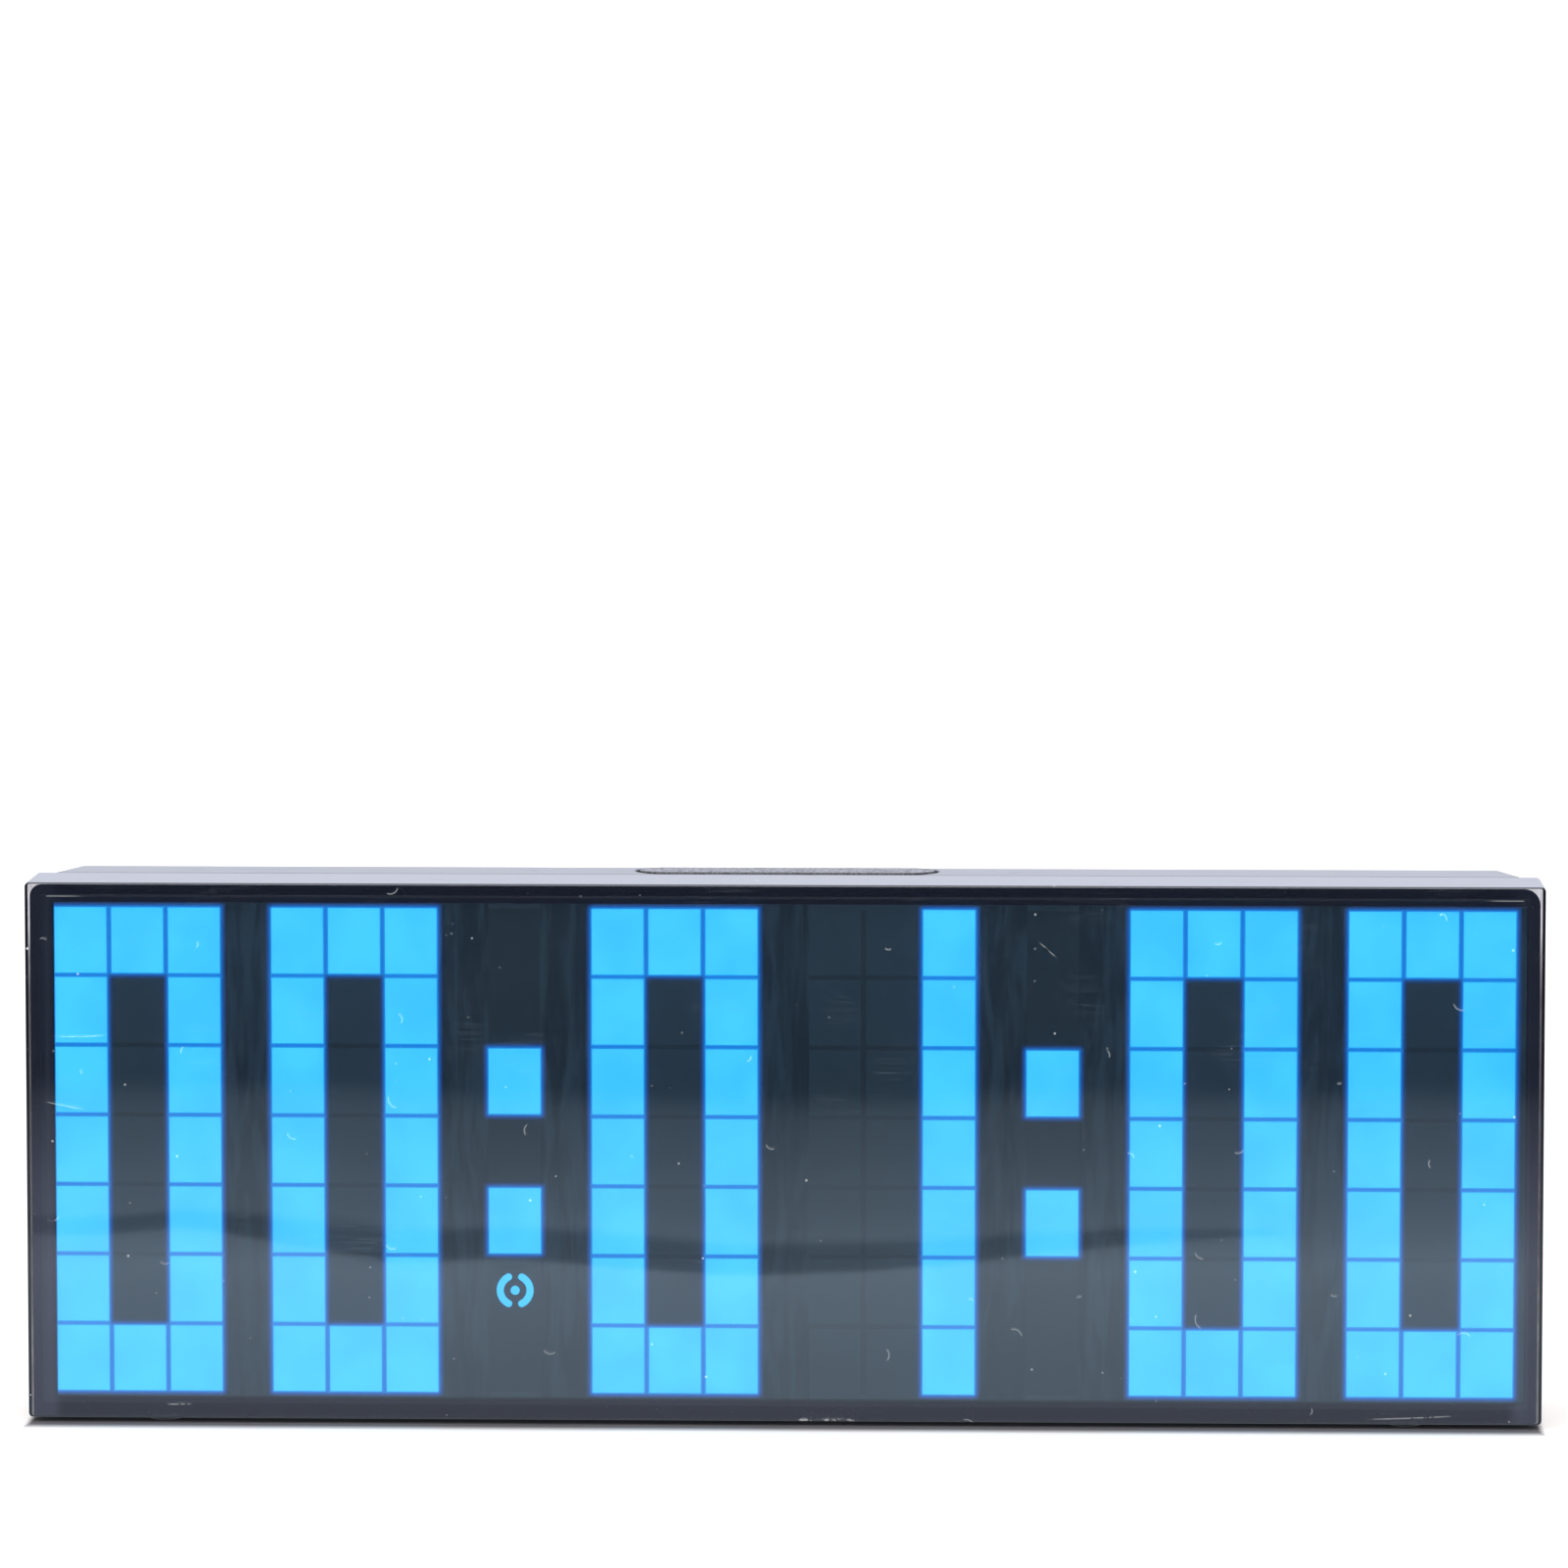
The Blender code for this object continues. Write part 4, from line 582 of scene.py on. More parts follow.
@shared_effect("Mask")
def long_scratches(place):
    """Thin curved lines, and chips along the lower edge."""
    x, _, z = axes(place)
    lines = []
    for start_x, end_x, start_z, slope, curve in scratch_runs:
        along = scaled(x, 1000.0, -start_x)
        height = scaled(scaled(along, curve, slope), along, start_z)
        drawn = fade(abs(scaled(z, -1000.0, height)), 0.04, 0.2, 1.0, 0.0)
        half = 0.5 * (end_x - start_x)
        lines.append(drawn * fade(abs(along - half), half * 0.5, half, 1.0, 0.0))
    broken = noise(place, 700.0, 3.0, 0.7)
    chip_x = fade(abs(x - 0.0105), 0.006, 0.0075, 1.0, 0.0)
    chip_z = fade(z, 0.0015, 0.0022, 1.0, 0.0)
    chips = chip_x * chip_z * fade(broken, 0.5, 0.56)
    return largest(largest(*lines) * fade(broken, 0.36, 0.5), chips)


# %% Smoked acrylic
def smoked_acrylic(name, colour, alpha, ior, roughness, tint, wave, painted_light=None, **plain):
    """Dark glossy acrylic that lets part of the light through; a given function may add painted light to its
    colour.
    """
    plain.update(IOR=ior, Alpha=alpha, Specular_Tint=tint)
    material, sockets, place = start_finish(name, roughness, **plain)
    speck = dust_specks(place, Scale=165.0, Size=0.058)
    fibre = loose_fibres(place, Scale=36.0)
    scratch = hairline_scuffs(place, Amount=0.5)
    loose = largest(speck, fibre * 0.75, long_scratches(place) * 0.8)
    base = blend(loose, blend(scratch * 0.08, colour, (0.5, 0.55, 0.6)), (0.9, 0.92, 0.9))
    slow = bump(noise(stretched(place, (16, 16, 26)), 1.0, 1.0), wave)
    fill(sockets, {
        "Base Color": painted_light(place, base) if painted_light else base,
        "Roughness": scaled(largest(loose, scratch), 0.3, roughness, clamp=True),
        "Normal": bump(scratch, 0.000004, Normal=slow),
    })
    return material


step_x, step_z = 0.1772, 0.1279


def paint_border_light(place, base):
    """Paints the lower sides of the border lighter, a painted reflection, and draws a painted highlight on
    its step.
    """
    x, _, z = axes(place)
    from_middle = abs(x)
    # Painted glints: the step line is painted brighter near both ends, and a faint painted highlight runs
    # down the sides.
    bright_ends = fade(from_middle, 0.167, 0.173, 0.05, 0.8)
    top_glint = fade(abs(z - step_z), 0.00003, 0.00016, 1.0, 0.0) * maths("LESS_THAN", from_middle, step_x)
    side_glint = fade(abs(from_middle - step_x), 0.0001, 0.0005, 0.02, 0.0) * maths("LESS_THAN", z, step_z)
    # Painted reflection: the lower sides of the border are painted lighter.
    side_painted_reflection = fade(from_middle, 0.174, 0.1765) * fade(z, 0.045, 0.085, 1.0, 0.2)
    reflection_tinted = blend(side_painted_reflection, base, (0.07, 0.08, 0.128))
    return blend(largest(top_glint * bright_ends, side_glint), reflection_tinted, (0.8, 0.85, 0.85))


smoked_face = smoked_acrylic(
    "smoked_face", (0.009, 0.016, 0.025), 0.5, 2.6, 0.035, (0.85, 0.95, 1.0), 0.00006
)
smoked_side = smoked_acrylic(
    "smoked_side", (0.01, 0.012, 0.018), 1.0, 1.6, 0.06, (0.9, 0.95, 1.0), 0.00001, Coat_Weight=0.25
)
smoked_border = smoked_acrylic(
    "smoked_border", (0.02, 0.026, 0.046), 0.6, 2.0, 0.035, (0.95, 0.92, 1.0), 0.00003, paint_border_light
)
print("smoked acrylic is ready")

# %% Clear rim with a painted highlight
# The rim is opaque and pale: a painted highlight on the cover's clear edge. Its colour is painted lighter
# along the top, a little lighter at the bottom and dimmer in between.
rim_painted_highlight, sockets, place = start_finish("rim_painted_highlight", 0.25, IOR=1.5)
murky = noise(stretched(place, (900, 900, 240)), 1.0, 3.0)
rim_highlight_colour = blend(fade(murky, 0.35, 0.65), (0.62, 0.6, 0.65), (0.86, 0.84, 0.9))
painted_rim_light_stops = [(0.0, 0.3), (0.18, 0.26), (0.32, 0.16), (0.6, 0.12), (0.78, 0.16), (0.86, 0.36), (0.92, 0.85)]
light = ramp(axes(place)[2] * 7.5, painted_rim_light_stops)
fill(sockets, {"Base Color": blend(1.0, rim_highlight_colour, light, "MULTIPLY"), "Normal": bump(murky, 0.00002)})
print("the clear rim is ready")

# %% [markdown]
# ## The lit film
# The film behind the face is slate grey when it is dark. It has faint ghost lines where the frame behind it
# touches, and darker stains between the digits, where less light comes through. Where a cell is lit, the
# film glows cyan, with a thin deeper blue along the edge. Each face of the film carries a number called
# gap, for the spaces between digits, and each vertex one called glow, which says how lit it is.


# %% Slate film and light cells
def film_finish(name, tone_share, lit=False):
    """The slate film, or a lit cell of it; tone_share makes it lighter or darker."""
    material, sockets, place = start_finish(name, 0.5, Emission_Strength=4.0)
    gap = add_node("Attribute", {}, "Fac", tree=place.tree, attribute_name="gap")
    glow = add_node("Attribute", {}, "Fac", tree=place.tree, attribute_name="glow")
    slate = blend(patchy_tone(place, Scale=14.0), (0.235, 0.437, 0.66), (0.28, 0.48, 0.69))
    drips = fade(noise(stretched(place, (230, 1, 30)), 1.0, 3.0, 0.6, 0.6), 0.35, 0.62)
    slate = blend(gap * drips * 0.6, slate, (0.07, 0.13, 0.22))
    weave = moulded_grain(place, Scale=3000.0)
    speckled = fade(weave, 0.2, 1.2, tone_share * 0.94, tone_share * 1.06)
    # Painted light: above 75 mm the film is painted up to 16 percent lighter towards its top edge, multiplied
    # onto the grain.
    grain_with_painted_top_light = grey(speckled * fade(axes(place)[2], 0.075, 0.126, 1.0, 1.16))
    if lit:
        glowing = blend(fade(noise(place, 55.0, 2.0), 0.3, 0.7), (0.03, 0.5, 0.98), (0.045, 0.57, 1))
    else:
        blues = [(0.0, 0.0), (0.5, (0.0, 0.045, 0.24)), (0.85, (0.0, 0.17, 0.62)), (1.0, (0.0, 0.3, 0.8))]
        glowing = ramp(glow, blues)
    fill(sockets, {
        "Base Color": blend(1.0, slate, grain_with_painted_top_light, "MULTIPLY"),
        "Emission Color": glowing,
        "Normal": bump(weave, 0.00001),
    })
    return material


slate_film = film_finish("slate_film", 1.0)
ghost_line = film_finish("ghost_line", 0.74)
dark_cell = film_finish("dark_cell", 0.97)
lit_cell = film_finish("lit_cell", 1.0, lit=True)
print("film finishes are ready")

# %% [markdown]
# ## The remaining finishes
# The bar on top has a coarse texture, and its colour is painted lighter on the raised grain and darker in its
# pits: painted glints and painted shading. Metal parts are drawn or stamped, so their scratches run
# one way. The circuit boards are green lacquer over copper, with traces and solder pads that show through.
# The flat cable is a row of thin wires side by side. The cord's jacket has a fine lengthwise drag from the
# die it was pulled through, and the tie is a woven strap with tiny loops.

# %% Textured bar
textured_bar, sockets, place = start_finish("textured_bar", 0.42, IOR=1.6)
rough = noise(place, 900.0, 4.0, 0.7)
height = scaled(scattered(place, 1300.0, "Distance"), -0.8, rough)
# The colour follows the grain's height: painted glints on the raised grain, painted shading in the pits.
bar_colour_with_painted_glints = blend(fade(height, -0.15, 0.35), (0.008, 0.008, 0.01), (0.12, 0.12, 0.13))
fill(sockets, {
    "Base Color": blend(worn_edges(place) * 0.4, bar_colour_with_painted_glints, (0.3, 0.3, 0.31)),
    "Roughness": fade(rough, 0.36, 0.64, 0.07, 0.42),
    "Normal": bump(height, 0.00006),
})
print("textured bar is ready")

# %% Bright metal
bright_metal, sockets, place = start_finish("bright_metal", 0.28, 1.0)
drawn = noise(stretched(place, (260, 260, 6000)), 1.0, 3.0, 0.7)
steel = blend(patchy_tone(place, Scale=120.0), (0.56, 0.55, 0.53), (0.7, 0.7, 0.69))
fill(sockets, {
    "Base Color": blend(hairline_scuffs(place, Amount=0.6), steel, (0.85, 0.85, 0.84)),
    "Roughness": fade(drawn, 0.2, 0.8, 0.2, 0.38),
    "Normal": bump(drawn, 0.000008),
})
print("bright metal is ready")

# %% Circuit board
circuit_board, sockets, place = start_finish("circuit_board", 0.35, IOR=1.5)
upright = stretched(place, (1, 1, 1), (math.pi / 2, 0, 0))
traces = add_node("TexBrick", {"Vector": upright, "Scale": 260.0, "Mortar Size": 0.035}, "Fac", offset=0.37)
routes = traces * fade(noise(place, 45.0, 1.0), 0.45, 0.5)
pads = fade(scattered(place, 330.0, "Distance"), 0.14, 0.18, 1.0, 0.0) * fade(noise(place, 80.0), 0.5, 0.55)
lacquer = blend(routes, (0.012, 0.085, 0.035), (0.03, 0.17, 0.07))
fill(sockets, {
    "Base Color": blend(pads, lacquer, (0.62, 0.6, 0.52)),
    "Metallic": pads,
    "Normal": bump(routes + pads, 0.00004),
})
print("circuit board is ready")

# %% Flat cable
ribbon_grey, sockets, place = start_finish("ribbon_grey", 0.5)
wires = add_node("TexWave", {"Vector": place, "Scale": 250.0}, "Fac", bands_direction="X")
fill(sockets, {"Base Color": blend(wires, (0.3, 0.3, 0.31), (0.5, 0.5, 0.51)), "Normal": bump(wires, 0.0002)})
print("flat cable is ready")

# %% Cord jacket
cord_jacket, sockets, place = start_finish("cord_jacket", 0.42, IOR=1.5)
fine = noise(place, 700.0, 4.0, 0.65)
jacket = blend(patchy_tone(place, Scale=60.0), (0.012, 0.012, 0.013), (0.022, 0.022, 0.024))
fill(sockets, {
    "Base Color": blend(dust_specks(place, Scale=300.0, Size=0.05), jacket, (0.4, 0.4, 0.38)),
    "Roughness": fade(fine, 0.25, 0.75, 0.34, 0.5),
    "Normal": bump(fine, 0.00005),
})
print("cord jacket is ready")

# %% Woven tie
woven_tie, sockets, place = start_finish("woven_tie", 0.85, Sheen_Weight=0.25)
thread = {"Vector": place, "Scale": 420.0, "Distortion": 1.5}
weft, warp = (add_node("TexWave", thread, "Fac", bands_direction=way) for way in "XY")
loops = weft * warp
woven = blend(loops, (0.01, 0.01, 0.011), (0.05, 0.05, 0.054))
fill(sockets, {"Base Color": woven, "Normal": bump(loops, 0.0003)})
print("woven tie is ready")

# %% Milky diffuser plastic
milky, sockets, place = start_finish("milky_plastic", 0.45, IOR=1.5)
milk = blend(patchy_tone(place, Scale=60.0), (0.6, 0.68, 0.72), (0.72, 0.78, 0.8))
fill(sockets, {"Base Color": milk, "Normal": bump(moulded_grain(place, Scale=2500.0), 0.00002)})
print("milky plastic is ready")

# %% [markdown]
# ## The cord
# The cord leaves the plug at the lower back, sinks to the table and is wound up behind the clock for
# storage. Its whole length of 1.2 m lies in it. The route winds in on the upper layer, drops to the table
# in the middle and winds out again below, so no turn cuts through another. A curve with automatic handles
# stays smooth between the points, and a round bevel gives it its thickness.

# %% Route of the cord
cord_radius = 2
route = [
    (-100, 57.3, 31), (-100, 62, 30.8), (-99.3, 69, 28.8), (-96.5, 76.5, 23.2), (-90.5, 83.5, 15.2),
    (-81.5, 89.2, 8.2), (-70, 92.6, 4), (-57.5, 93.8, 2.5), (-46, 93.8, 2.6), (-35, 93.5, 4),
    (-25.5, 93.1, 6.3), (-17.5, 92.8, 7.9), (-12.3, 92.75, 8.25), (-8, 92.75, 8.25),
]
coil_x, coil_y = -4, 61
upper_z, lower_z = 8.25, 3.8
inner_reach, turn_spacing = 16, 4.5
turns_per_layer = 3.5
points_per_turn = 48
steps = round(2 * turns_per_layer * points_per_turn)
for step in range(steps + 1):
    at = -turns_per_layer + 2 * turns_per_layer * step / steps
    reach = inner_reach + turn_spacing * abs(at)
    drop = min(max(at / 0.5 + 0.5, 0), 1)
    height = upper_z + (lower_z - upper_z) * drop**2 * (3 - 2 * drop)
    angle = math.pi / 2 - math.tau * (at + turns_per_layer)
    route.append((coil_x + reach * math.cos(angle), coil_y + reach * math.sin(angle), height))
route += [(10, 92.75, lower_z), (22.1, 92.75, lower_z)]
print("the route has", len(route), "points")

# %% Cord
cord_curve = bpy.data.curves.new("cord", "CURVE")
cord_curve.dimensions = "3D"
cord_curve.resolution_u = cord_curve.render_resolution_u = 4
cord_curve.bevel_depth = cord_radius * mm
cord_curve.bevel_resolution = 5
cord_curve.use_fill_caps = True
spline = cord_curve.splines.new("BEZIER")
spline.bezier_points.add(len(route) - 1)
for target, point in zip(spline.bezier_points, route):
    target.co = Vector(point) * mm
    target.handle_left_type = target.handle_right_type = "AUTO"
cord = bpy.data.objects.new("cord", cord_curve)
scene.collection.objects.link(cord)
dress(cord, "case", cord_jacket, "cord_black", ["cord_lead", "cord_coil"])
print("cord radius", cord_radius, "mm")

# %% [markdown]
# ## Plugs and tie
# A round plug is turned: a grip, then a sleeve that narrows rib by rib so that the cord bends gently. The
# flat plug at the far end is a rounded box with a turned sleeve, and its shell is a hollow box with two
# spring windows and a tongue inside. The tie is a strap that goes round every turn of the coil.

# %% Round power plug
socket_x, socket_z = -100, 31
grip = [(0, 0), (4.2, 0), (4.6, 0.15), (4.8, 0.6), (4.8, 3), (4.55, 3.3), (4.55, 3.9), (4.8, 4.2), (4.8, 12)]
grip += [(4.65, 14), (4.3, 17), (4.0, 19.4), (3.7, 20)]
for rib in range(5):
    radius = 3.3 - 0.7 * rib / 4
    start = 20 + 3.2 * rib
    grip += [(radius - 0.5, start + 0.2), (radius - 0.5, start + 1.1), (radius - 0.08, start + 1.3)]
    grip += [(radius, start + 1.6), (radius, start + 2.9), (radius - 0.1, start + 3.15)]
grip += [(2.55, 36), (2.4, 36.6), (2.05, 36.6), (2.05, 36.1), (0, 36.1)]
plug = turned_shape(grip, (socket_x, 21, socket_z))
power_plug = make_piece("round_plug", plug, "case", plug_rubber, "plug_black", ["power_plug"], 40)
barrel = [(0, 9), (2.55, 9), (2.75, 8.8), (2.75, 0.3), (2.6, 0), (1.35, 0), (1.25, 0.15), (1.25, 8), (0, 8)]
barrel = turned_shape(barrel, (socket_x, 11.7, socket_z))
plug_barrel = make_piece("round_plug_barrel", barrel, "case", bright_metal, "bright_metal", ["plug_barrel"])

# %% Flat far plug
lower_face, upper_face = 0.3, 7.3
body = box_shape((32.38, 85, lower_face), (59.38, 100.5, upper_face))
round_edges(body, edges_along(body, 0), 1.6, 5)
round_rim(body, (1, 0, 0), 0.5, 3)
round_rim(body, (-1, 0, 0), 0.8, 3)
sleeve = [(0, 0.1), (2.05, 0.1), (2.05, -0.6), (2.3, -0.6), (2.6, 0.3), (2.7, 2), (2.4, 2.1), (2.4, 3)]
sleeve += [(2.8, 3.1), (2.85, 5), (2.5, 5.1), (2.5, 6), (2.95, 6.1), (3.0, 8), (2.7, 8.1), (2.7, 8.9)]
sleeve += [(3.1, 9), (3.1, 10.6), (0, 10.6)]
sleeve = turned_shape(sleeve, (22.38, 92.75, lower_z), (1, 0, 0), 40)
flat_plug = link_mesh("flat_plug", join_shapes(body, sleeve))
grooves = []
for x in (40, 43, 46, 49, 52):
    for z in (lower_face, upper_face):
        grooves.append(box_shape((x, 87, z - 0.35), (x + 1.2, 98.5, z + 0.35)))
carve(flat_plug, grooves)
dress(flat_plug, "case", plug_rubber, "plug_black", ["usb_plug"])

# %% Shell of the far plug
shell = box_shape((59.68, 86.75, 1.55), (71.68, 98.75, 6.05))
round_edges(shell, edges_along(shell, 0), 0.4, 3)
far_shell = link_mesh("flat_plug_shell", shell)
hollow = box_shape((60.2, 87.25, 2.05), (73, 98.25, 5.55))
windows = [box_shape((65, y, 5), (67.2, y + 2.2, 7)) for y in (89, 94.3)]
carve(far_shell, [hollow, *windows])
dress(far_shell, "case", bright_metal, "bright_metal", ["usb_shell"])
tongue = rounded_box((59.9, 87.4, 2.1), (71, 98.1, 3.9), 0.15, 2)
far_tongue = make_piece("flat_plug_tongue", tongue, "case", socket_ivory, "socket_ivory")

# %% Tie round the coil
strap = box_shape((-7.5, 28, 0.3), (-0.5, 48.5, 11.75))
round_edges(strap, edges_along(strap, 0), 3.4, 8)
open_faces(strap, (1, 0, 0), (-1, 0, 0))
tie = link_mesh("woven_coil_tie", strap)
thicken(tie, 1.2)
dress(tie, "case", woven_tie, "tie_black", ["cord_tie"])
tab = rounded_box((-7.1, 33, 11.3), (-0.9, 45.5, 11.75), 0.15, 2)
tie_tab = make_piece("woven_tie_end", tab, "case", woven_tie, "tie_black")

# %% [markdown]
# ## The front cover
# The cover is a tray: a face with four walls. We make an outer box and a smaller inner box, round their
# edges with the same number of steps, open both at the back and bridge the two rims. That gives walls with
# a real thickness. The flat front is then taken out and filled again in three zones, one inside the other:
# a clear rim, a dark border whose upper corners are rounder, and the window over the film. A flat outline
# marks each zone, and a triangle fill joins it to the one before, so the cover stays closed.

# %% Skins and outlines of the cover
case_half, front_y, back_y = 182.5, -20.5, 20.5
bottom_z, top_z = 1.2, 131.2
case_middle = (bottom_z + top_z) / 2
window_part, side_part, border_part, highlight_rim_part = range(4)
window_low, window_high = (-175.8, 6.2), (178.2, 126.2)
feet_x, front_foot_y, rear_foot_y = (-150, 150), -13.5, 12.5


def open_box(low, high, corner, rim, segments=6):
    """A box with rounded edges that is open at the back; all of it is a part of the sides."""
    shape = box_shape(low, high)
    round_edges(shape, edges_along(shape, 1), corner, segments)
    round_rim(shape, (0, -1, 0), rim, segments)
    open_faces(shape, (0, 1, 0))
    for face in shape.faces:
        face.material_index = side_part
    return shape


def frame_line(low, high, lower, upper_left, upper_right):
    """A flat face at the front of the cover, with rounded corners."""
    shape = bmesh.new()
    (low_x, low_z), (high_x, high_z) = low, high
    middle = metres(((low_x + high_x) / 2, front_y, (low_z + high_z) / 2))
    halves = ((high_x - low_x) / 2 * mm, (high_z - low_z) / 2 * mm, 1, 1)
    place = Matrix.Translation(middle) @ Matrix.Rotation(math.pi / 2, 4, "X") @ Matrix.Diagonal(halves)
    bmesh.ops.create_grid(shape, x_segments=1, y_segments=1, size=1, matrix=place)
    for vert in shape.verts[:]:
        upper = upper_left if vert.co.x < 0 else upper_right
        round_edges(shape, [vert], upper if vert.co.z > middle.z else lower, 6, "VERTICES")
    return shape


print("the case is", 2 * case_half, "by", back_y - front_y, "by", top_z - bottom_z, "mm")

# %% Smoked tray
tray = open_box((-case_half, front_y, bottom_z), (case_half, 2.5, top_z), 1.0, 0.35)
front_face = max(faces_towards(tray, (0, -1, 0)), key=lambda face: face.calc_area())
bmesh.ops.delete(tray, geom=[front_face], context="FACES_ONLY")
zones = [
    (side_part, frame_line((-181.7, 1.58), (181.7, 130.84), 0.5, 0.5, 0.5)),
    # This zone carries the painted highlight of the cover's edge.
    (highlight_rim_part, frame_line((-181.2, 1.6), (181.2, 130.8), 0.6, 2.9, 3.9)),
    (border_part, frame_line(window_low, window_high, 0.3, 0.3, 0.3)),
]
front_limit = (front_y + 0.1) * mm
for part, zone in zones:
    if part != border_part:
        bmesh.ops.delete(zone, geom=zone.faces[:], context="FACES_ONLY")
    join_shapes(tray, zone)
    loose = [edge for edge in tray.edges if len(edge.link_faces) < 2]
    front = [edge for edge in loose if all(vert.co.y < front_limit for vert in edge.verts)]
    made = bmesh.ops.triangle_fill(tray, edges=front, use_beauty=True, normal=(0, -1, 0))["geom"]
    made = [piece for piece in made if isinstance(piece, bmesh.types.BMFace)]
    for face in made:
        face.material_index = part
    print("a zone of the face has", len(made), "faces")
inside = open_box((-179.5, -18.1, 4.2), (179.5, 2.5, 128.2), 0.6, 0.3)
for face in faces_towards(inside, (0, -1, 0)):
    face.material_index = window_part
bmesh.ops.reverse_faces(inside, faces=inside.faces)
join_shapes(tray, inside)
rims = [edge for edge in tray.edges if edge.is_boundary]
for face in bmesh.ops.bridge_loops(tray, edges=rims)["faces"]:
    face.material_index = side_part
bmesh.ops.recalc_face_normals(tray, faces=tray.faces)
cover = link_mesh("smoked_front_cover", tray)
cover_finishes = [smoked_face, smoked_side, smoked_border, rim_painted_highlight]
for finish in cover_finishes:
    cover.data.materials.append(finish)
recess = [(0, -1), (4.3, -1), (4.3, 0.6), (0, 0.6)]
carve(cover, [turned_shape(recess, (x, front_foot_y, bottom_z), (0, 0, 1)) for x in feet_x])
dress(cover, "case", cover_finishes, "smoked_cover", ["front_cover"], 40)

# %% [markdown]
# ## The film and its cells
# The film starts as one flat face, and straight cuts along every cell edge divide it. A few more cuts run
# beside each edge, so that the glow can fall off there. Then each vertex gets its glow from its distance to
# the nearest lit cell, and each face gets the finish of what it is: film, ghost line, dark or lit cell.

# %% Where the cells are
cell_width, cell_height = 12.4, 15.8
pitch_x, pitch_z = 13.7, 16.94
digit_width = 2 * pitch_x + cell_width
display_half = 3 * pitch_z + cell_height / 2
rows = [case_middle + (3 - row) * pitch_z for row in range(7)]
colon_rows = (2, 4)
groups = [
    (-175.55, "zero"), (-123.25, "zero"), (-70.95, "colon"), (-46.05, "zero"),
    (6.25, "one"), (58.55, "colon"), (83.45, "zero"), (135.75, "zero"),
]


def is_lit(kind, column, row):
    """Which cells show the time 00:01:00."""
    if kind == "colon":
        return row in colon_rows
    if kind == "one":
        return column == 2
    return column != 1 or row in (0, 6)


cells = []
for left, kind in groups:
    for column in range(1 if kind == "colon" else 3):
        for row in range(7):
            x = left + column * pitch_x
            low, high = (x, rows[row] - cell_height / 2), (x + cell_width, rows[row] + cell_height / 2)
            real = kind != "colon" or row in colon_rows
            cells.append((low, high, is_lit(kind, column, row), real))
lit_cells = [(low, high) for low, high, lit, _ in cells if lit]
print(len(cells), "places for cells, of which", len(lit_cells), "are lit")

# %% Cut the film
film_y, halo, edge_band = -17.8, 1.5, 0.6
film = bmesh.new()
(low_x, low_z), (high_x, high_z) = window_low, window_high
film_corners = [(low_x, low_z), (high_x, low_z), (high_x, high_z), (low_x, high_z)]
film.faces.new([film.verts.new(metres((x, film_y, z))) for x, z in film_corners])
cuts_x, cuts_z = set(), set()
for low, high, *_ in cells:
    for store, start, end in ((cuts_x, low[0], high[0]), (cuts_z, low[1], high[1])):
        for aside in (-halo, -edge_band, 0, halo):
            store.update((round(start + aside, 2), round(end - aside, 2)))
for axis, spots in ((0, cuts_x), (2, cuts_z)):
    for spot in sorted(spots):
        middle, across = [0, film_y, 0], [0, 0, 0]
        middle[axis], across[axis] = spot, 1
        cut = {"plane_co": metres(middle), "plane_no": across, "dist": weld_reach}
        bmesh.ops.bisect_plane(film, geom=film.verts[:] + film.edges[:] + film.faces[:], **cut)
print("the film is cut into", len(film.faces), "faces")

# %% Sort the film's faces
film_part, ghost_part, dark_part, lit_part = range(4)
spans = [(left, left + (cell_width if kind == "colon" else digit_width)) for left, kind in groups]


def far_from(cell, x, z):
    """How far a place is from a cell."""
    (low_x, low_z), (high_x, high_z) = cell
    return math.hypot(max(low_x - x, x - high_x, 0), max(low_z - z, z - high_z, 0))


def part_at(x, z, in_span):
    """Which part of the film is at a place."""
    for low, high, lit, real in cells:
        if real and low[0] < x < high[0] and low[1] < z < high[1]:
            return lit_part if lit else dark_part
    return ghost_part if in_span and abs(z - case_middle) < display_half else film_part


glow_layer = film.verts.layers.float.new("glow")
gap_layer = film.faces.layers.float.new("gap")
for vert in film.verts:
    nearest = sorted(far_from(cell, vert.co.x / mm, vert.co.z / mm) for cell in lit_cells)[:2]
    first, second = (max(0.0, 1 - near / halo) ** 1.2 for near in nearest)
    vert[glow_layer] = 1 - (1 - first) * (1 - second)
for face in film.faces:
    middle = face.calc_center_median() / mm
    in_span = any(low < middle.x < high for low, high in spans)
    face.material_index = part_at(middle.x, middle.z, in_span)
    face[gap_layer] = 0.0 if in_span else 1.0
film_piece = link_mesh("slate_display_film", film)
thicken(film_piece, 0.4)
dress(film_piece, "case", [slate_film, ghost_line, dark_cell, lit_cell], "slate_film", ["display_film"])
film_depths = [vert.co.y / mm for vert in film_piece.data.vertices]
print("film depth", round(min(film_depths), 2), "to", round(max(film_depths), 2))

# %% [markdown]
# ## The round indicator mark
# Under the first colon sits a small lit mark. Ours is a plain one: two arcs round a dot. A short line that
# is spun part of the way round gives each arc, half a turn of half that line rounds each end, and a disc is
# the dot. The flat shape then gets a thickness, as the film does.

# %% Indicator mark
inner_radius, middle_radius, outer_radius, dot_radius = 2.75, 3.6, 4.45, 1.1
arc_half = math.radians(64)
mark = bmesh.new()


def spin_line(middle, radii, angle, turn, steps):
    """Spins a short line on a spoke of the mark, round a place in the mark."""
    spoke = Vector((math.cos(angle), 0, math.sin(angle))) * mm
    knots = [mark.verts.new(spoke * radius) for radius in radii]
    lines = [mark.edges.new(pair) for pair in zip(knots, knots[1:])]
    sweep = {"axis": (0, 1, 0), "cent": spoke * middle, "angle": turn, "steps": steps}
    bmesh.ops.spin(mark, geom=knots + lines, **sweep)


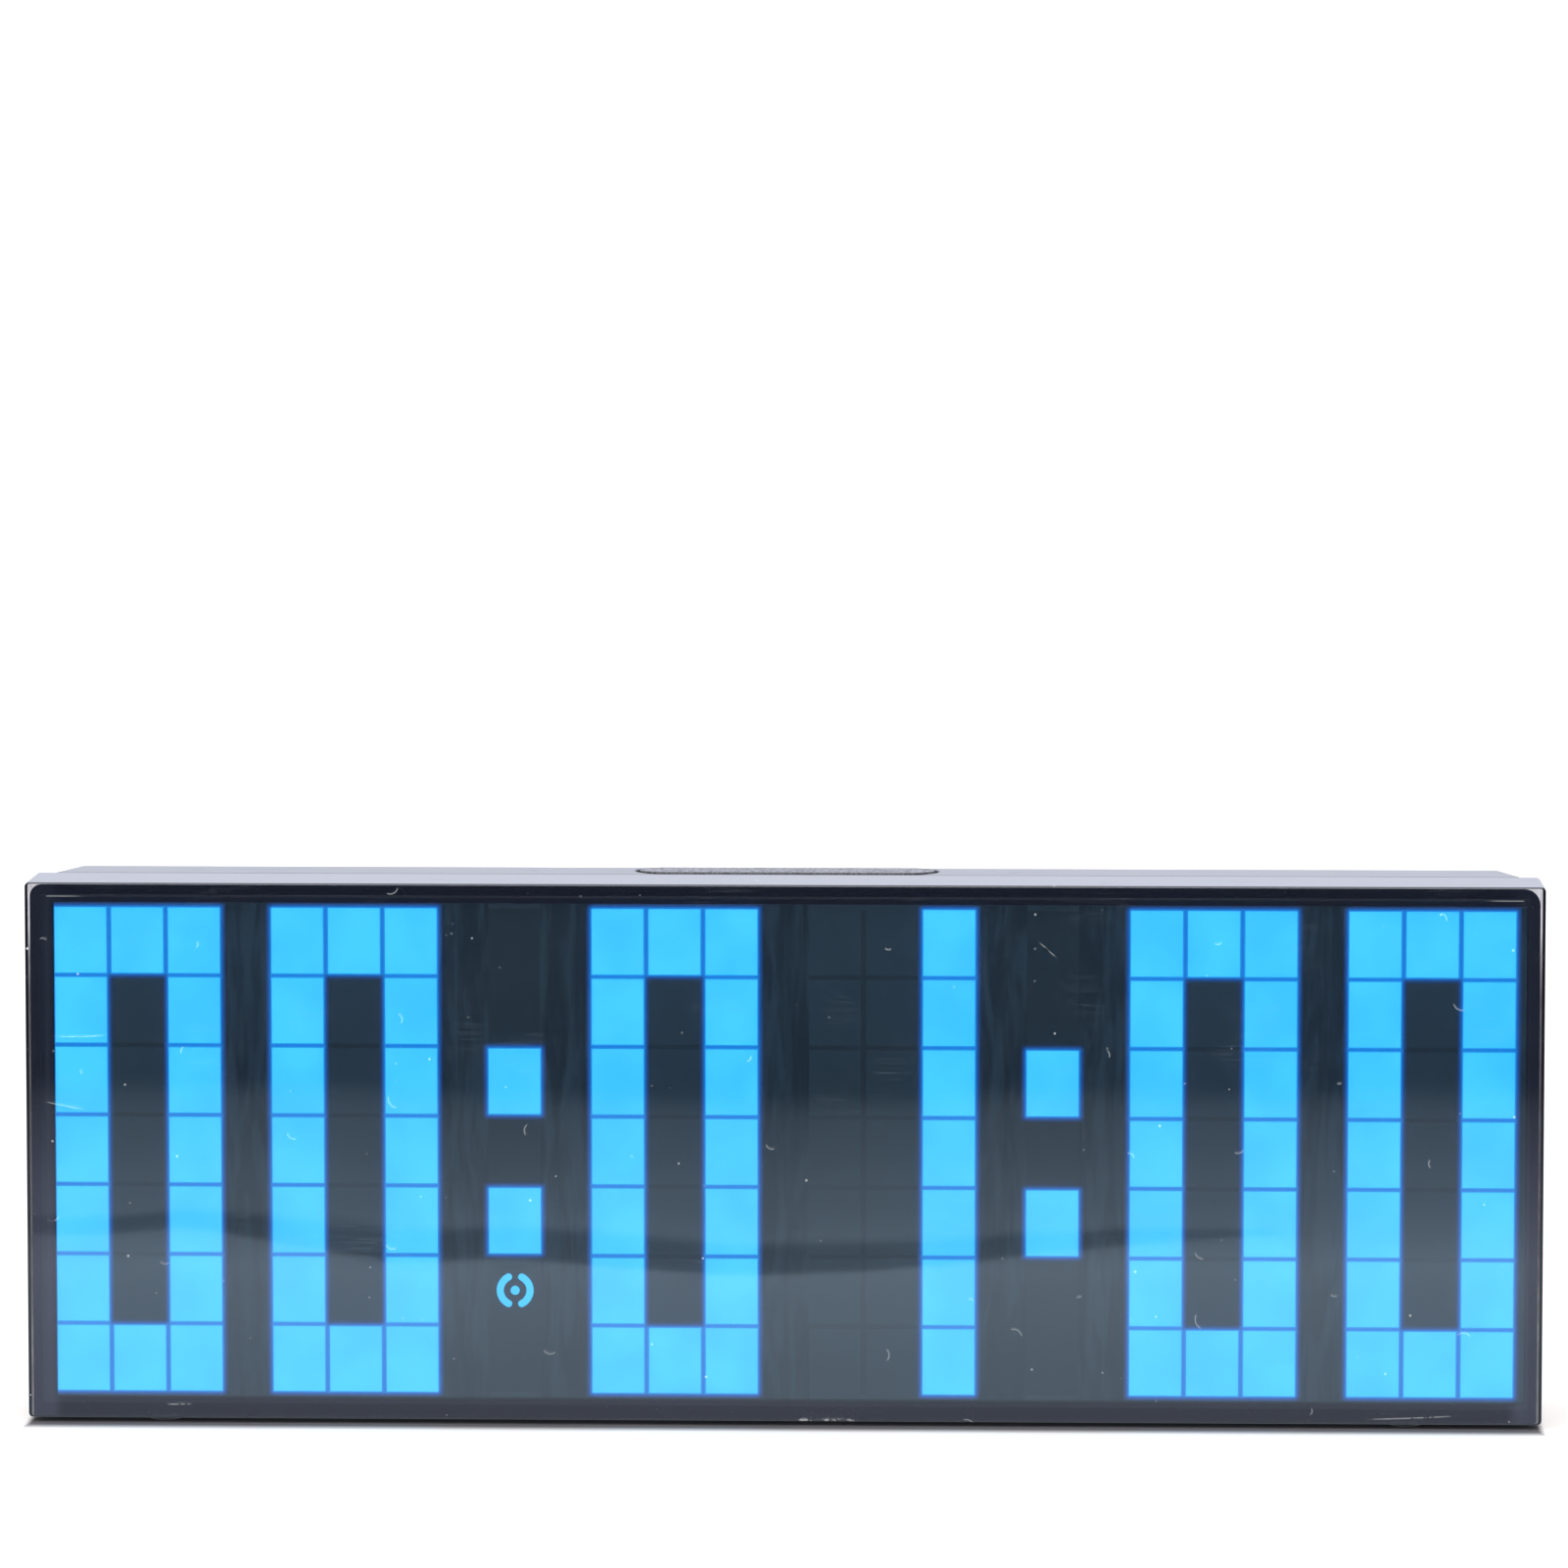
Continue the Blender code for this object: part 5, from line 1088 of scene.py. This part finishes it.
for side in (0, math.pi):
    spin_line(0, (inner_radius, middle_radius, outer_radius), side - arc_half, -2 * arc_half, 28)
    for angle, turn in ((side - arc_half, math.pi), (side + arc_half, -math.pi)):
        spin_line(middle_radius, (middle_radius, outer_radius), angle, turn, 10)
flat_disc = Matrix.Rotation(math.pi / 2, 4, "X")
bmesh.ops.create_circle(mark, cap_ends=True, segments=28, radius=dot_radius * mm, matrix=flat_disc)
bmesh.ops.remove_doubles(mark, verts=mark.verts, dist=weld_reach)
mark.normal_update()
for face in mark.faces:
    if face.normal.y > 0:
        face.normal_flip()
bmesh.ops.translate(mark, verts=mark.verts, vec=metres((-64.75, film_y - 0.07, rows[5])))
mark_piece = link_mesh("round_indicator_mark", mark)
thicken(mark_piece, 0.04)
dress(mark_piece, "case", lit_cell, "lit_cell")

# %% [markdown]
# ## The rear cover
# The rear cover is a glossy black shell whose sides lean in towards the back. We round a box, open its
# front and pull the open rim step by step: in to the lip that slides into the front cover, forwards, in,
# back and out again along the inside. Then the wells for the screws are added and all holes are cut. Each
# cutter is a little wider where it meets the skin, which leaves a fine chamfer that catches the light. A
# shallow etched panel, where clocks have their data label, stays empty.


# %% Skin of the rear cover
def pull_rim(shape, rim, width, height, y):
    """Extrudes an open rim and fits the new one to a width, a height and a depth."""
    made = bmesh.ops.extrude_edge_only(shape, edges=rim)["geom"]
    fresh = {part for part in made if isinstance(part, bmesh.types.BMVert)}
    wide = max(vert.co.x for vert in fresh) - min(vert.co.x for vert in fresh)
    tall = max(vert.co.z for vert in fresh) - min(vert.co.z for vert in fresh)
    for vert in fresh:
        vert.co.x *= width * mm / wide
        vert.co.z = case_middle * mm + (vert.co.z - case_middle * mm) * height * mm / tall
        vert.co.y = y * mm
    return [edge for edge in shape.edges if edge.is_boundary and fresh.issuperset(edge.verts)]


front_half, back_half = 179.72, 174.5
skin = box_shape((-front_half, 3.1, bottom_z), (front_half, back_y, top_z))
for vert in skin.verts:
    if vert.co.y > 10 * mm:
        vert.co.x *= back_half / front_half
round_edges(skin, edges_along(skin, 1), 2.4, 8)
round_rim(skin, (0, 1, 0), 1.5, 6)
open_faces(skin, (0, -1, 0))
rim = [edge for edge in skin.edges if edge.is_boundary]
inner_steps = [(358.84, 129.4, 2.8), (358.4, 123.4, 2.8), (358.4, 123.4, -0.6), (355, 120, -0.6)]
inner_steps += [(355, 120, 5), (353.9, 125.6, 5), (345.9, 125.6, 18.3)]
for width, height, y in inner_steps:
    rim = pull_rim(skin, rim, width, height, y)
bmesh.ops.edgeloop_fill(skin, edges=rim)
bmesh.ops.recalc_face_normals(skin, faces=skin.faces)
rear = link_mesh("black_rear_cover", skin)
print("the rear cover's skin has", len(rear.data.polygons), "faces")


# %% Wells and cutters
def hole_shape(radius, place, start, end, axis=(0, 1, 0), flare=0.3, steps=48):
    """A round cutter that widens towards the skin and past it; start and end are heights on its axis."""
    wide = radius + 2 * flare
    profile = [(0, start), (radius, start), (radius, end - flare), (wide, end + flare)]
    return turned_shape([*profile, (wide, end + 1), (0, end + 1)], place, axis, steps)


hole_start, button_seat = 17, 19.7
screw_spots = [(x, z) for x in (-129.4, 129.4) for z in (18.2, 114.2)]
well = [(0, 0), (4.2, 0), (4.2, 25.2), (0, 25.2)]
carve(rear, [turned_shape(well, (x, -5.8, z), steps=40) for x, z in screw_spots], "UNION")
cutters = []
for x, z in screw_spots:
    cutters.append(hole_shape(2.9, (x, 0, z), -2.8, back_y))
    cutters.append(hole_shape(1.7, (x, 0, z), -8, -2, flare=0, steps=28))
cutters.append(hole_shape(4.4, (socket_x, 0, socket_z), hole_start, back_y))
for x in (-90, 90):
    cutters.append(hole_shape(4.4, (x, 0, 96), hole_start, back_y))
    neck = hole_shape(2.4, (x, 0, 101), hole_start, back_y)
    cutters.append(pull_apart(neck, (x, 0, 101), (0, 0, 1), 5))
carve(rear, cutters)

# %% Openings for buttons, door, sound and snooze bar
button_x, button_z = [-110 + 16 * number for number in range(5)], 56
door_place = Vector((-28, 0, 38))
sound_place = Vector((-66, 0, 38))
bar_place = Vector((0, 11.6, 0))
row_middle = (button_x[2], 0, button_z)
recess = hole_shape(6.7, row_middle, button_seat, back_y, flare=0.25)
cutters = [pull_apart(recess, row_middle, (1, 0, 0), 32)]
cutters += [hole_shape(3.8, (x, 0, button_z), hole_start, button_seat, flare=0.15) for x in button_x]
cutters.append(hole_shape(13.3, door_place, hole_start, back_y, flare=0.25, steps=96))
ring = [Vector((math.cos(math.tau * n / 6), 0, math.sin(math.tau * n / 6))) * 3.4 for n in range(6)]
for aside in [Vector(), *ring]:
    cutters.append(hole_shape(0.9, sound_place + aside, hole_start, back_y, flare=0.15, steps=24))
slot = hole_shape(6.4, bar_place, 125, top_z, (0, 0, 1), 0.3, 56)
cutters.append(pull_apart(slot, bar_place, (1, 0, 0), 30.6))
for x in feet_x:
    cutters.append(hole_shape(4.3, (x, rear_foot_y, 0), -1.8, -bottom_z, (0, 0, -1), 0.1))
panel_low, panel_high, panel_floor = (30, 45), (110, 79), back_y - 0.3
panel = box_shape((panel_low[0], panel_floor, panel_low[1]), (panel_high[0], back_y + 1, panel_high[1]))
round_edges(panel, edges_along(panel, 1), 2.5, 6)
carve(rear, [*cutters, panel])
for face in rear.data.polygons:
    x, y, _ = face.center / mm
    if face.normal.y > 0.9 and panel_low[0] < x < panel_high[0] and abs(y - panel_floor) < 0.1:
        face.material_index = 1
dress(rear, "case", [glossy_shell, etched_shell], "black_shell", ["rear_cover"], 30)

# %% [markdown]
# ## The case screws
# Four screws hold the two covers together, and their heads show at the bottom of the wells. Each is turned
# with a domed head, and a cross with a cone in its middle is cut into it for the driver. Its place and
# length come from the box of the CAD node that it stands for.

# %% Four case screws
for number in range(1, 5):
    low, high = ([value / mm for value in corner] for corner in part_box(f"case_screw_{number}"))
    x, z = (low[0] + high[0]) / 2, (low[2] + high[2]) / 2
    tip, top = low[1], high[1]
    head = [(0, tip), (1.1, tip + 1.3), (1.4, tip + 1.8), (1.4, top - 1.8), (2.6, top - 1.8)]
    head += [(2.6, top - 0.95), (2.5, top - 0.6), (2.25, top - 0.32), (1.8, top - 0.12), (1.2, top), (0, top)]
    screw = link_mesh(f"pan_head_screw_{number}", turned_shape(head, (x, 0, z), steps=40))
    middle = Vector((x, top, z))
    cross = []
    for corner in (Vector((1.5, 0.9, 0.35)), Vector((0.35, 0.9, 1.5))):
        cross.append(rounded_box(middle - corner, middle + corner, 0.12, 2))
    cross.append(hole_shape(0.55, (x, 0, z), top - 1.2, top, flare=0.35, steps=20))
    carve(screw, cross)
    dress(screw, "case", bright_metal, "bright_metal", [f"case_screw_{number}"])

# %% [markdown]
# ## The bar on top
# The long bar in the top stops the alarm for a few minutes. Its ends are round, so we turn a short round
# profile and pull its two halves apart. A tab at each end keeps it in its slot, and a stem reaches down to
# its switch. Its finish is coarse, so that a finger finds it in the dark.

# %% Snooze bar
bar_half = 30
crown = [(0, 127.5), (6, 127.5), (6, 131.22), (5.95, 131.38), (5.83, 131.46), (5.6, 131.5), (0, 131.5)]
bar = pull_apart(turned_shape(crown, bar_place, (0, 0, 1), 56), bar_place, (1, 0, 0), bar_half)
tabs = [box_shape((x, 7.6, 127.2), (x + 7.6, 15.6, 128.7)) for x in (-bar_half - 7.6, bar_half)]
stem = turned_shape([(0, 122), (1.8, 122), (1.8, 127.6), (0, 127.6)], bar_place, (0, 0, 1), 32)
bar_piece = link_mesh("textured_snooze_bar", bar)
carve(bar_piece, [*tabs, stem], "UNION")
dress(bar_piece, "snooze_bar", textured_bar, "textured_bar", ["snooze_bar"])

# %% [markdown]
# ## Buttons on the back
# Each button is a turned cap with a dished top, a flange that keeps it in and a stem to its switch. Small
# raised marks tell them apart by touch: a ring, an arrow up, an arrow down, a dot with a bar, and a cross
# of two hands.

# %% Raised marks
mark_foot = 19.9


def triangle_mark(x, turn):
    """A small raised triangle on a button."""
    shape = bmesh.new()
    place = Matrix.Translation(metres((x, 20.1, button_z))) @ Matrix.Rotation(turn, 4, "Y")
    place = place @ Matrix.Rotation(-math.pi / 2, 4, "X")
    size = {"radius1": 1.5 * mm, "radius2": 1.3 * mm, "depth": 0.3 * mm}
    bmesh.ops.create_cone(shape, cap_ends=True, segments=3, matrix=place, **size)
    return shape


def bar_mark(x, z, width, height):
    """A small raised bar on a button."""
    low = (x - width / 2, mark_foot, button_z + z - height / 2)
    high = (x + width / 2, 20.26, button_z + z + height / 2)
    return rounded_box(low, high, 0.08, 2)


def disc_mark(x, z, inner, outer):
    """A small raised disc or ring on a button."""
    edge = [(inner, mark_foot), (inner, 20.22), (outer - 0.05, 20.26), (outer, 20.2), (outer, mark_foot)]
    return turned_shape([*edge, (inner, mark_foot)], (x, 0, button_z + z), steps=28)


set_x, up_x, down_x, alarm_x, timer_x = button_x
marks = {
    "set": [disc_mark(set_x, 0, 0.95, 1.4)],
    "up": [triangle_mark(up_x, 0)],
    "down": [triangle_mark(down_x, math.pi)],
    "alarm": [disc_mark(alarm_x, 0.5, 0, 0.9), bar_mark(alarm_x, -1.1, 2.4, 0.45)],
    "timer": [bar_mark(timer_x, 0.5, 0.45, 1.9), bar_mark(timer_x + 0.5, -0.3, 1.4, 0.45)],
}
print("raised marks for", ", ".join(marks))

# %% Five buttons
cap = [(0, 12.4), (1.7, 12.4), (1.7, 17), (4.5, 17), (4.5, 18), (3.5, 18), (3.5, 19.8), (3.46, 20.05)]
cap += [(3.33, 20.22), (3.1, 20.3), (2.85, 20.28), (2.4, 20.14), (1.6, 20.05), (0, 20.02)]
for x, (name, raised) in zip(button_x, marks.items()):
    shape = join_shapes(turned_shape(cap, (x, 0, button_z), steps=48), *raised)
    button = f"{name}_button"
    make_piece(f"{button}_cap", shape, button, satin_button, "button_plastic", [button])

# %% [markdown]
# ## The battery door
# A round door closes the well of the backup cell. It has a slot for a coin, a shallow ring and two dots that
# line up when it is open. Two hooks under its rim hold it shut until it is turned.

# %% Battery door
disc = [(0, 18.6), (13, 18.6), (13, 20.05), (12.9, 20.28), (12.65, 20.4), (11.7, 20.4), (11.55, 20.25)]
disc += [(10.95, 20.25), (10.8, 20.4), (0, 20.4)]
door = link_mesh("round_battery_door", turned_shape(disc, door_place, steps=96))
coin_slot = rounded_box((-35.5, 19.5, 37), (-20.5, 22, 39), 0.3, 3)
dot_places = [door_place + Vector((0, 0, height)) for height in (7.6, -7.6)]
dots = [hole_shape(0.6, place, 20.1, 20.4, flare=0.1, steps=20) for place in dot_places]
carve(door, [coin_slot, *dots])
hooks = []
for middle in (0, math.pi):
    hooks.append(ring_part(9.3, 12.2, 15.1, 16.4, middle, math.radians(13), door_place))
    hooks.append(ring_part(9.3, 10.4, 15.2, 18.9, middle, math.radians(12.8), door_place))
carve(door, hooks, "UNION")
dress(door, "battery_door", glossy_shell, "black_shell", ["battery_door"], 30)

# %% [markdown]
# ## Feet and socket
# Four soft feet sit in shallow recesses and stand a little proud. The power socket is a small turned nose
# with a pin in its middle, and the plug's barrel sits in it.

# %% Feet and power socket
pad = [(0, 0), (3.1, 0), (3.55, 0.1), (3.85, 0.35), (4, 0.75), (4, 1.5), (0, 1.5)]
for depth_name, y in (("front", front_foot_y), ("rear", rear_foot_y)):
    for side_name, x in zip(("left", "right"), feet_x):
        shape = turned_shape(pad, (x, y, 0), (0, 0, 1), 48)
        label = f"{depth_name}_{side_name}"
        make_piece(f"soft_foot_{label}", shape, "case", soft_rubber, "foot_rubber", [f"foot_{label}"])
nose = [(0, 9.9), (4.5, 9.9), (4.5, 18), (4.1, 18), (4.1, 20), (3.9, 20.2), (3.15, 20.2), (3.05, 20.1)]
nose += [(3.05, 10.9), (1, 10.9), (1, 18.4), (0.8, 18.7), (0, 18.7)]
nose = turned_shape(nose, (socket_x, 0, socket_z), steps=48)
make_piece("round_power_socket", nose, "case", satin_button, "chip_black", ["power_socket"])

# %% [markdown]
# ## Pieces that stay as they are
# The parts inside the case keep their CAD shapes, which are right, and get finishes with real detail. Their
# objects and meshes aren't changed; only the material in each slot is.


# %% Better finishes for the CAD nodes
def refinish(finish, *names):
    """Puts a finish on CAD nodes."""
    for name in names:
        for slot in nodes[name].material_slots:
            slot.material = finish


diffusers = [name for name in nodes if name.endswith("_diffuser")]
switches = [name for name in nodes if name.endswith("_switch")]
screws = [name for name in nodes if name.startswith("board_screw_")]
drivers = ["led_driver_left", "led_driver_right"]
refinish(milky, *diffusers)
refinish(grid_plastic, "light_grid")
refinish(circuit_board, "led_board", "control_board", "snooze_board")
refinish(chip_black, *switches, *drivers, "microcontroller", "buzzer", "power_capacitor")
refinish(bright_metal, *screws, "clock_crystal", "coin_cell", "battery_contact")
refinish(socket_ivory, "cable_socket_front", "cable_socket_rear")
refinish(ribbon_grey, "ribbon_cable", "snooze_lead")
print("refinished", len(diffusers), "diffusers,", len(switches), "switches and", len(screws), "screws")

# %% [markdown]
# ## The floor
# The clock stands on a pale floor. For the camera the floor is white with the soft shadow of the clock. In
# the glossy face it shows as it does in the picture: bright close to the clock, fading out further away,
# with one darker wavy streak. That streak and the fade are a painted reflection on the floor, for glossy rays
# only, by the floor's own coordinates, so they stay where they are from any view. Right under the clock, for
# a few millimetres in front of it and a little way round its other sides, the floor is painted darker and its
# glow for the camera is taken away: a painted contact shadow where two things touch.

# %% Floor and the path of its streak
floor_shape = bmesh.new()
bmesh.ops.create_grid(floor_shape, x_segments=1, y_segments=1, size=2.5)
floor = link_mesh("floor", floor_shape)
pale_floor, sockets, place = start_finish("pale_floor", 0.9)
x, y, _ = axes(place)
across = scaled(x, 2.0, 0.5, clamp=True)
path_stops = [(0.0, 0.1), (0.098, 0.124), (0.152, 0.021), (0.261, 0.47), (0.348, 0.497), (0.479, 0.717)]
path_stops += [(0.588, 0.52), (0.67, 0.273), (0.741, 0.226), (1.0, 0.2)]
wide_stops = [(0.0, 0.36), (0.152, 0.39), (0.261, 0.62), (0.479, 0.62), (0.588, 0.53), (0.67, 0.32)]
wide_stops += [(0.741, 0.1), (0.78, 0.0), (1.0, 0.0)]
streak_path = ramp(across, path_stops, "CARDINAL")
half_wide = scaled(ramp(across, wide_stops), 0.05, 0.0001)
bend = noise(stretched(place, (26, 1, 1)), 1.0, 2.0)
off_streak = (scaled(bend, 0.016, y - 0.008) - scaled(streak_path, 0.1, -0.36)) / half_wide
streak_edge = largest(fade(off_streak, 0.85, 1.08), fade(off_streak, -1.5, -0.4, 1.0, 0.0))
streak = fade(streak_edge, 0.0, 1.0, 0.4, 1.0)
print("the streak is ready")

# %% How bright the floor is in a mirror
level_reach = 0.75
wander = noise(stretched(place, (7, 2, 1)), 1.0, 2.0)
depth = scaled(wander, 0.05, y - 0.025) - scaled(streak_path, 0.04, -0.025)
depth_share = scaled(depth + level_reach, 1 / level_reach, 0.0, clamp=True)
level_stops = [(0.0, 0.0), (0.147, 0.0), (0.179, 0.139), (0.216, 0.267), (0.253, 0.31), (0.357, 0.405)]
level_stops += [(0.422, 0.52), (0.485, 0.565), (0.546, 0.7), (0.66, 1.06), (0.714, 0.98), (0.766, 0.94)]
level_stops += [(0.816, 0.874), (0.864, 0.82), (1.0, 0.8)]
level = ramp(depth_share, level_stops) * streak
card = blend(1.0, grey(level), (0.744, 0.83, 0.948), "MULTIPLY")
mirror_card = add_node("Emission", {"Color": card, "Strength": 1.0})
print("the floor in the mirror is ready")

# %% How the floor looks from the camera
ray_kinds = ("Is Camera Ray", "Is Transmission Ray", "Is Glossy Ray")
camera_ray, through_ray, glossy_ray = add_node("LightPath", {}, *ray_kinds, tree=place.tree)
# Painted contact shadow: darker colour and no glow right under the clock, for about 10 mm in front of it and
# a little way round its other sides.
other_sides = largest(abs(x) - 0.181, y - 0.0195) * 4.0
clear_of_painted_shadow = fade(largest(scaled(y, -1.0, -0.0205), other_sides), 0.002, 0.0105)
fill(sockets, {"Base Color": blend(clear_of_painted_shadow, (0.15, 0.14, 0.145), (0.6, 0.6, 0.6))})
far = add_node("VectorMath", {0: place}, "Value", operation="LENGTH")
glow_strength = fade(far, 0.25, 1.4, 0.56, 0.86) * clear_of_painted_shadow * largest(camera_ray, through_ray)
lift = add_node("Emission", {"Color": (1.0, 0.95, 0.93), "Strength": glow_strength})
shader, output = (place.tree.nodes[name] for name in ("Principled BSDF", "Material Output"))
plain = add_node("AddShader", {0: Signal(shader.outputs[0]), 1: lift})
fill(output.inputs, {"Surface": add_node("MixShader", {0: glossy_ray, 1: plain, 2: mirror_card})})
floor.data.materials.append(pale_floor)
print("the floor is ready")

# %% [markdown]
# ## World and lamps
# The world is a white studio for the camera and for reflections above the horizon. Its diffuse light is a
# plain soft grey, and two large area lamps, one overhead and one in front, add the rest. Together they
# light a white card to about white, so a colour renders about as it is written.

# %% World and lamps
world = bpy.data.worlds.new("white_studio")
world.use_nodes = True
scene.world = world
tree = world.node_tree
camera_ray, through_ray, glossy_ray = add_node("LightPath", {}, *ray_kinds, tree=tree)
upwards = axes(add_node("TexCoord", {}, "Generated", tree=tree))[2]
sky = blend(fade(upwards, -0.02, 0.01), (0.04, 0.045, 0.05), (0.95, 0.99, 1.15))
soft = blend(glossy_ray, (0.5, 0.5, 0.5), sky)
studio = blend(largest(camera_ray, through_ray), soft, (1, 1, 1))
fill(tree.nodes["Background"].inputs, {"Color": studio})


def add_lamp(name, place, aim, size, power):
    """A square area lamp that looks at a place."""
    data = bpy.data.lights.new(name, "AREA")
    data.size = size
    data.energy = power
    lamp = bpy.data.objects.new(name, data)
    lamp.location = place
    lamp.rotation_euler = (Vector(aim) - Vector(place)).to_track_quat("-Z", "Y").to_euler()
    scene.collection.objects.link(lamp)


add_lamp("overhead_lamp", (0, 0.1, 1.7), (0, 0, 0), 2.0, 15)
add_lamp("front_lamp", (-0.3, -1.7, 1.2), (0, 0, 0.06), 1.6, 17)
print("world and lamps are ready")
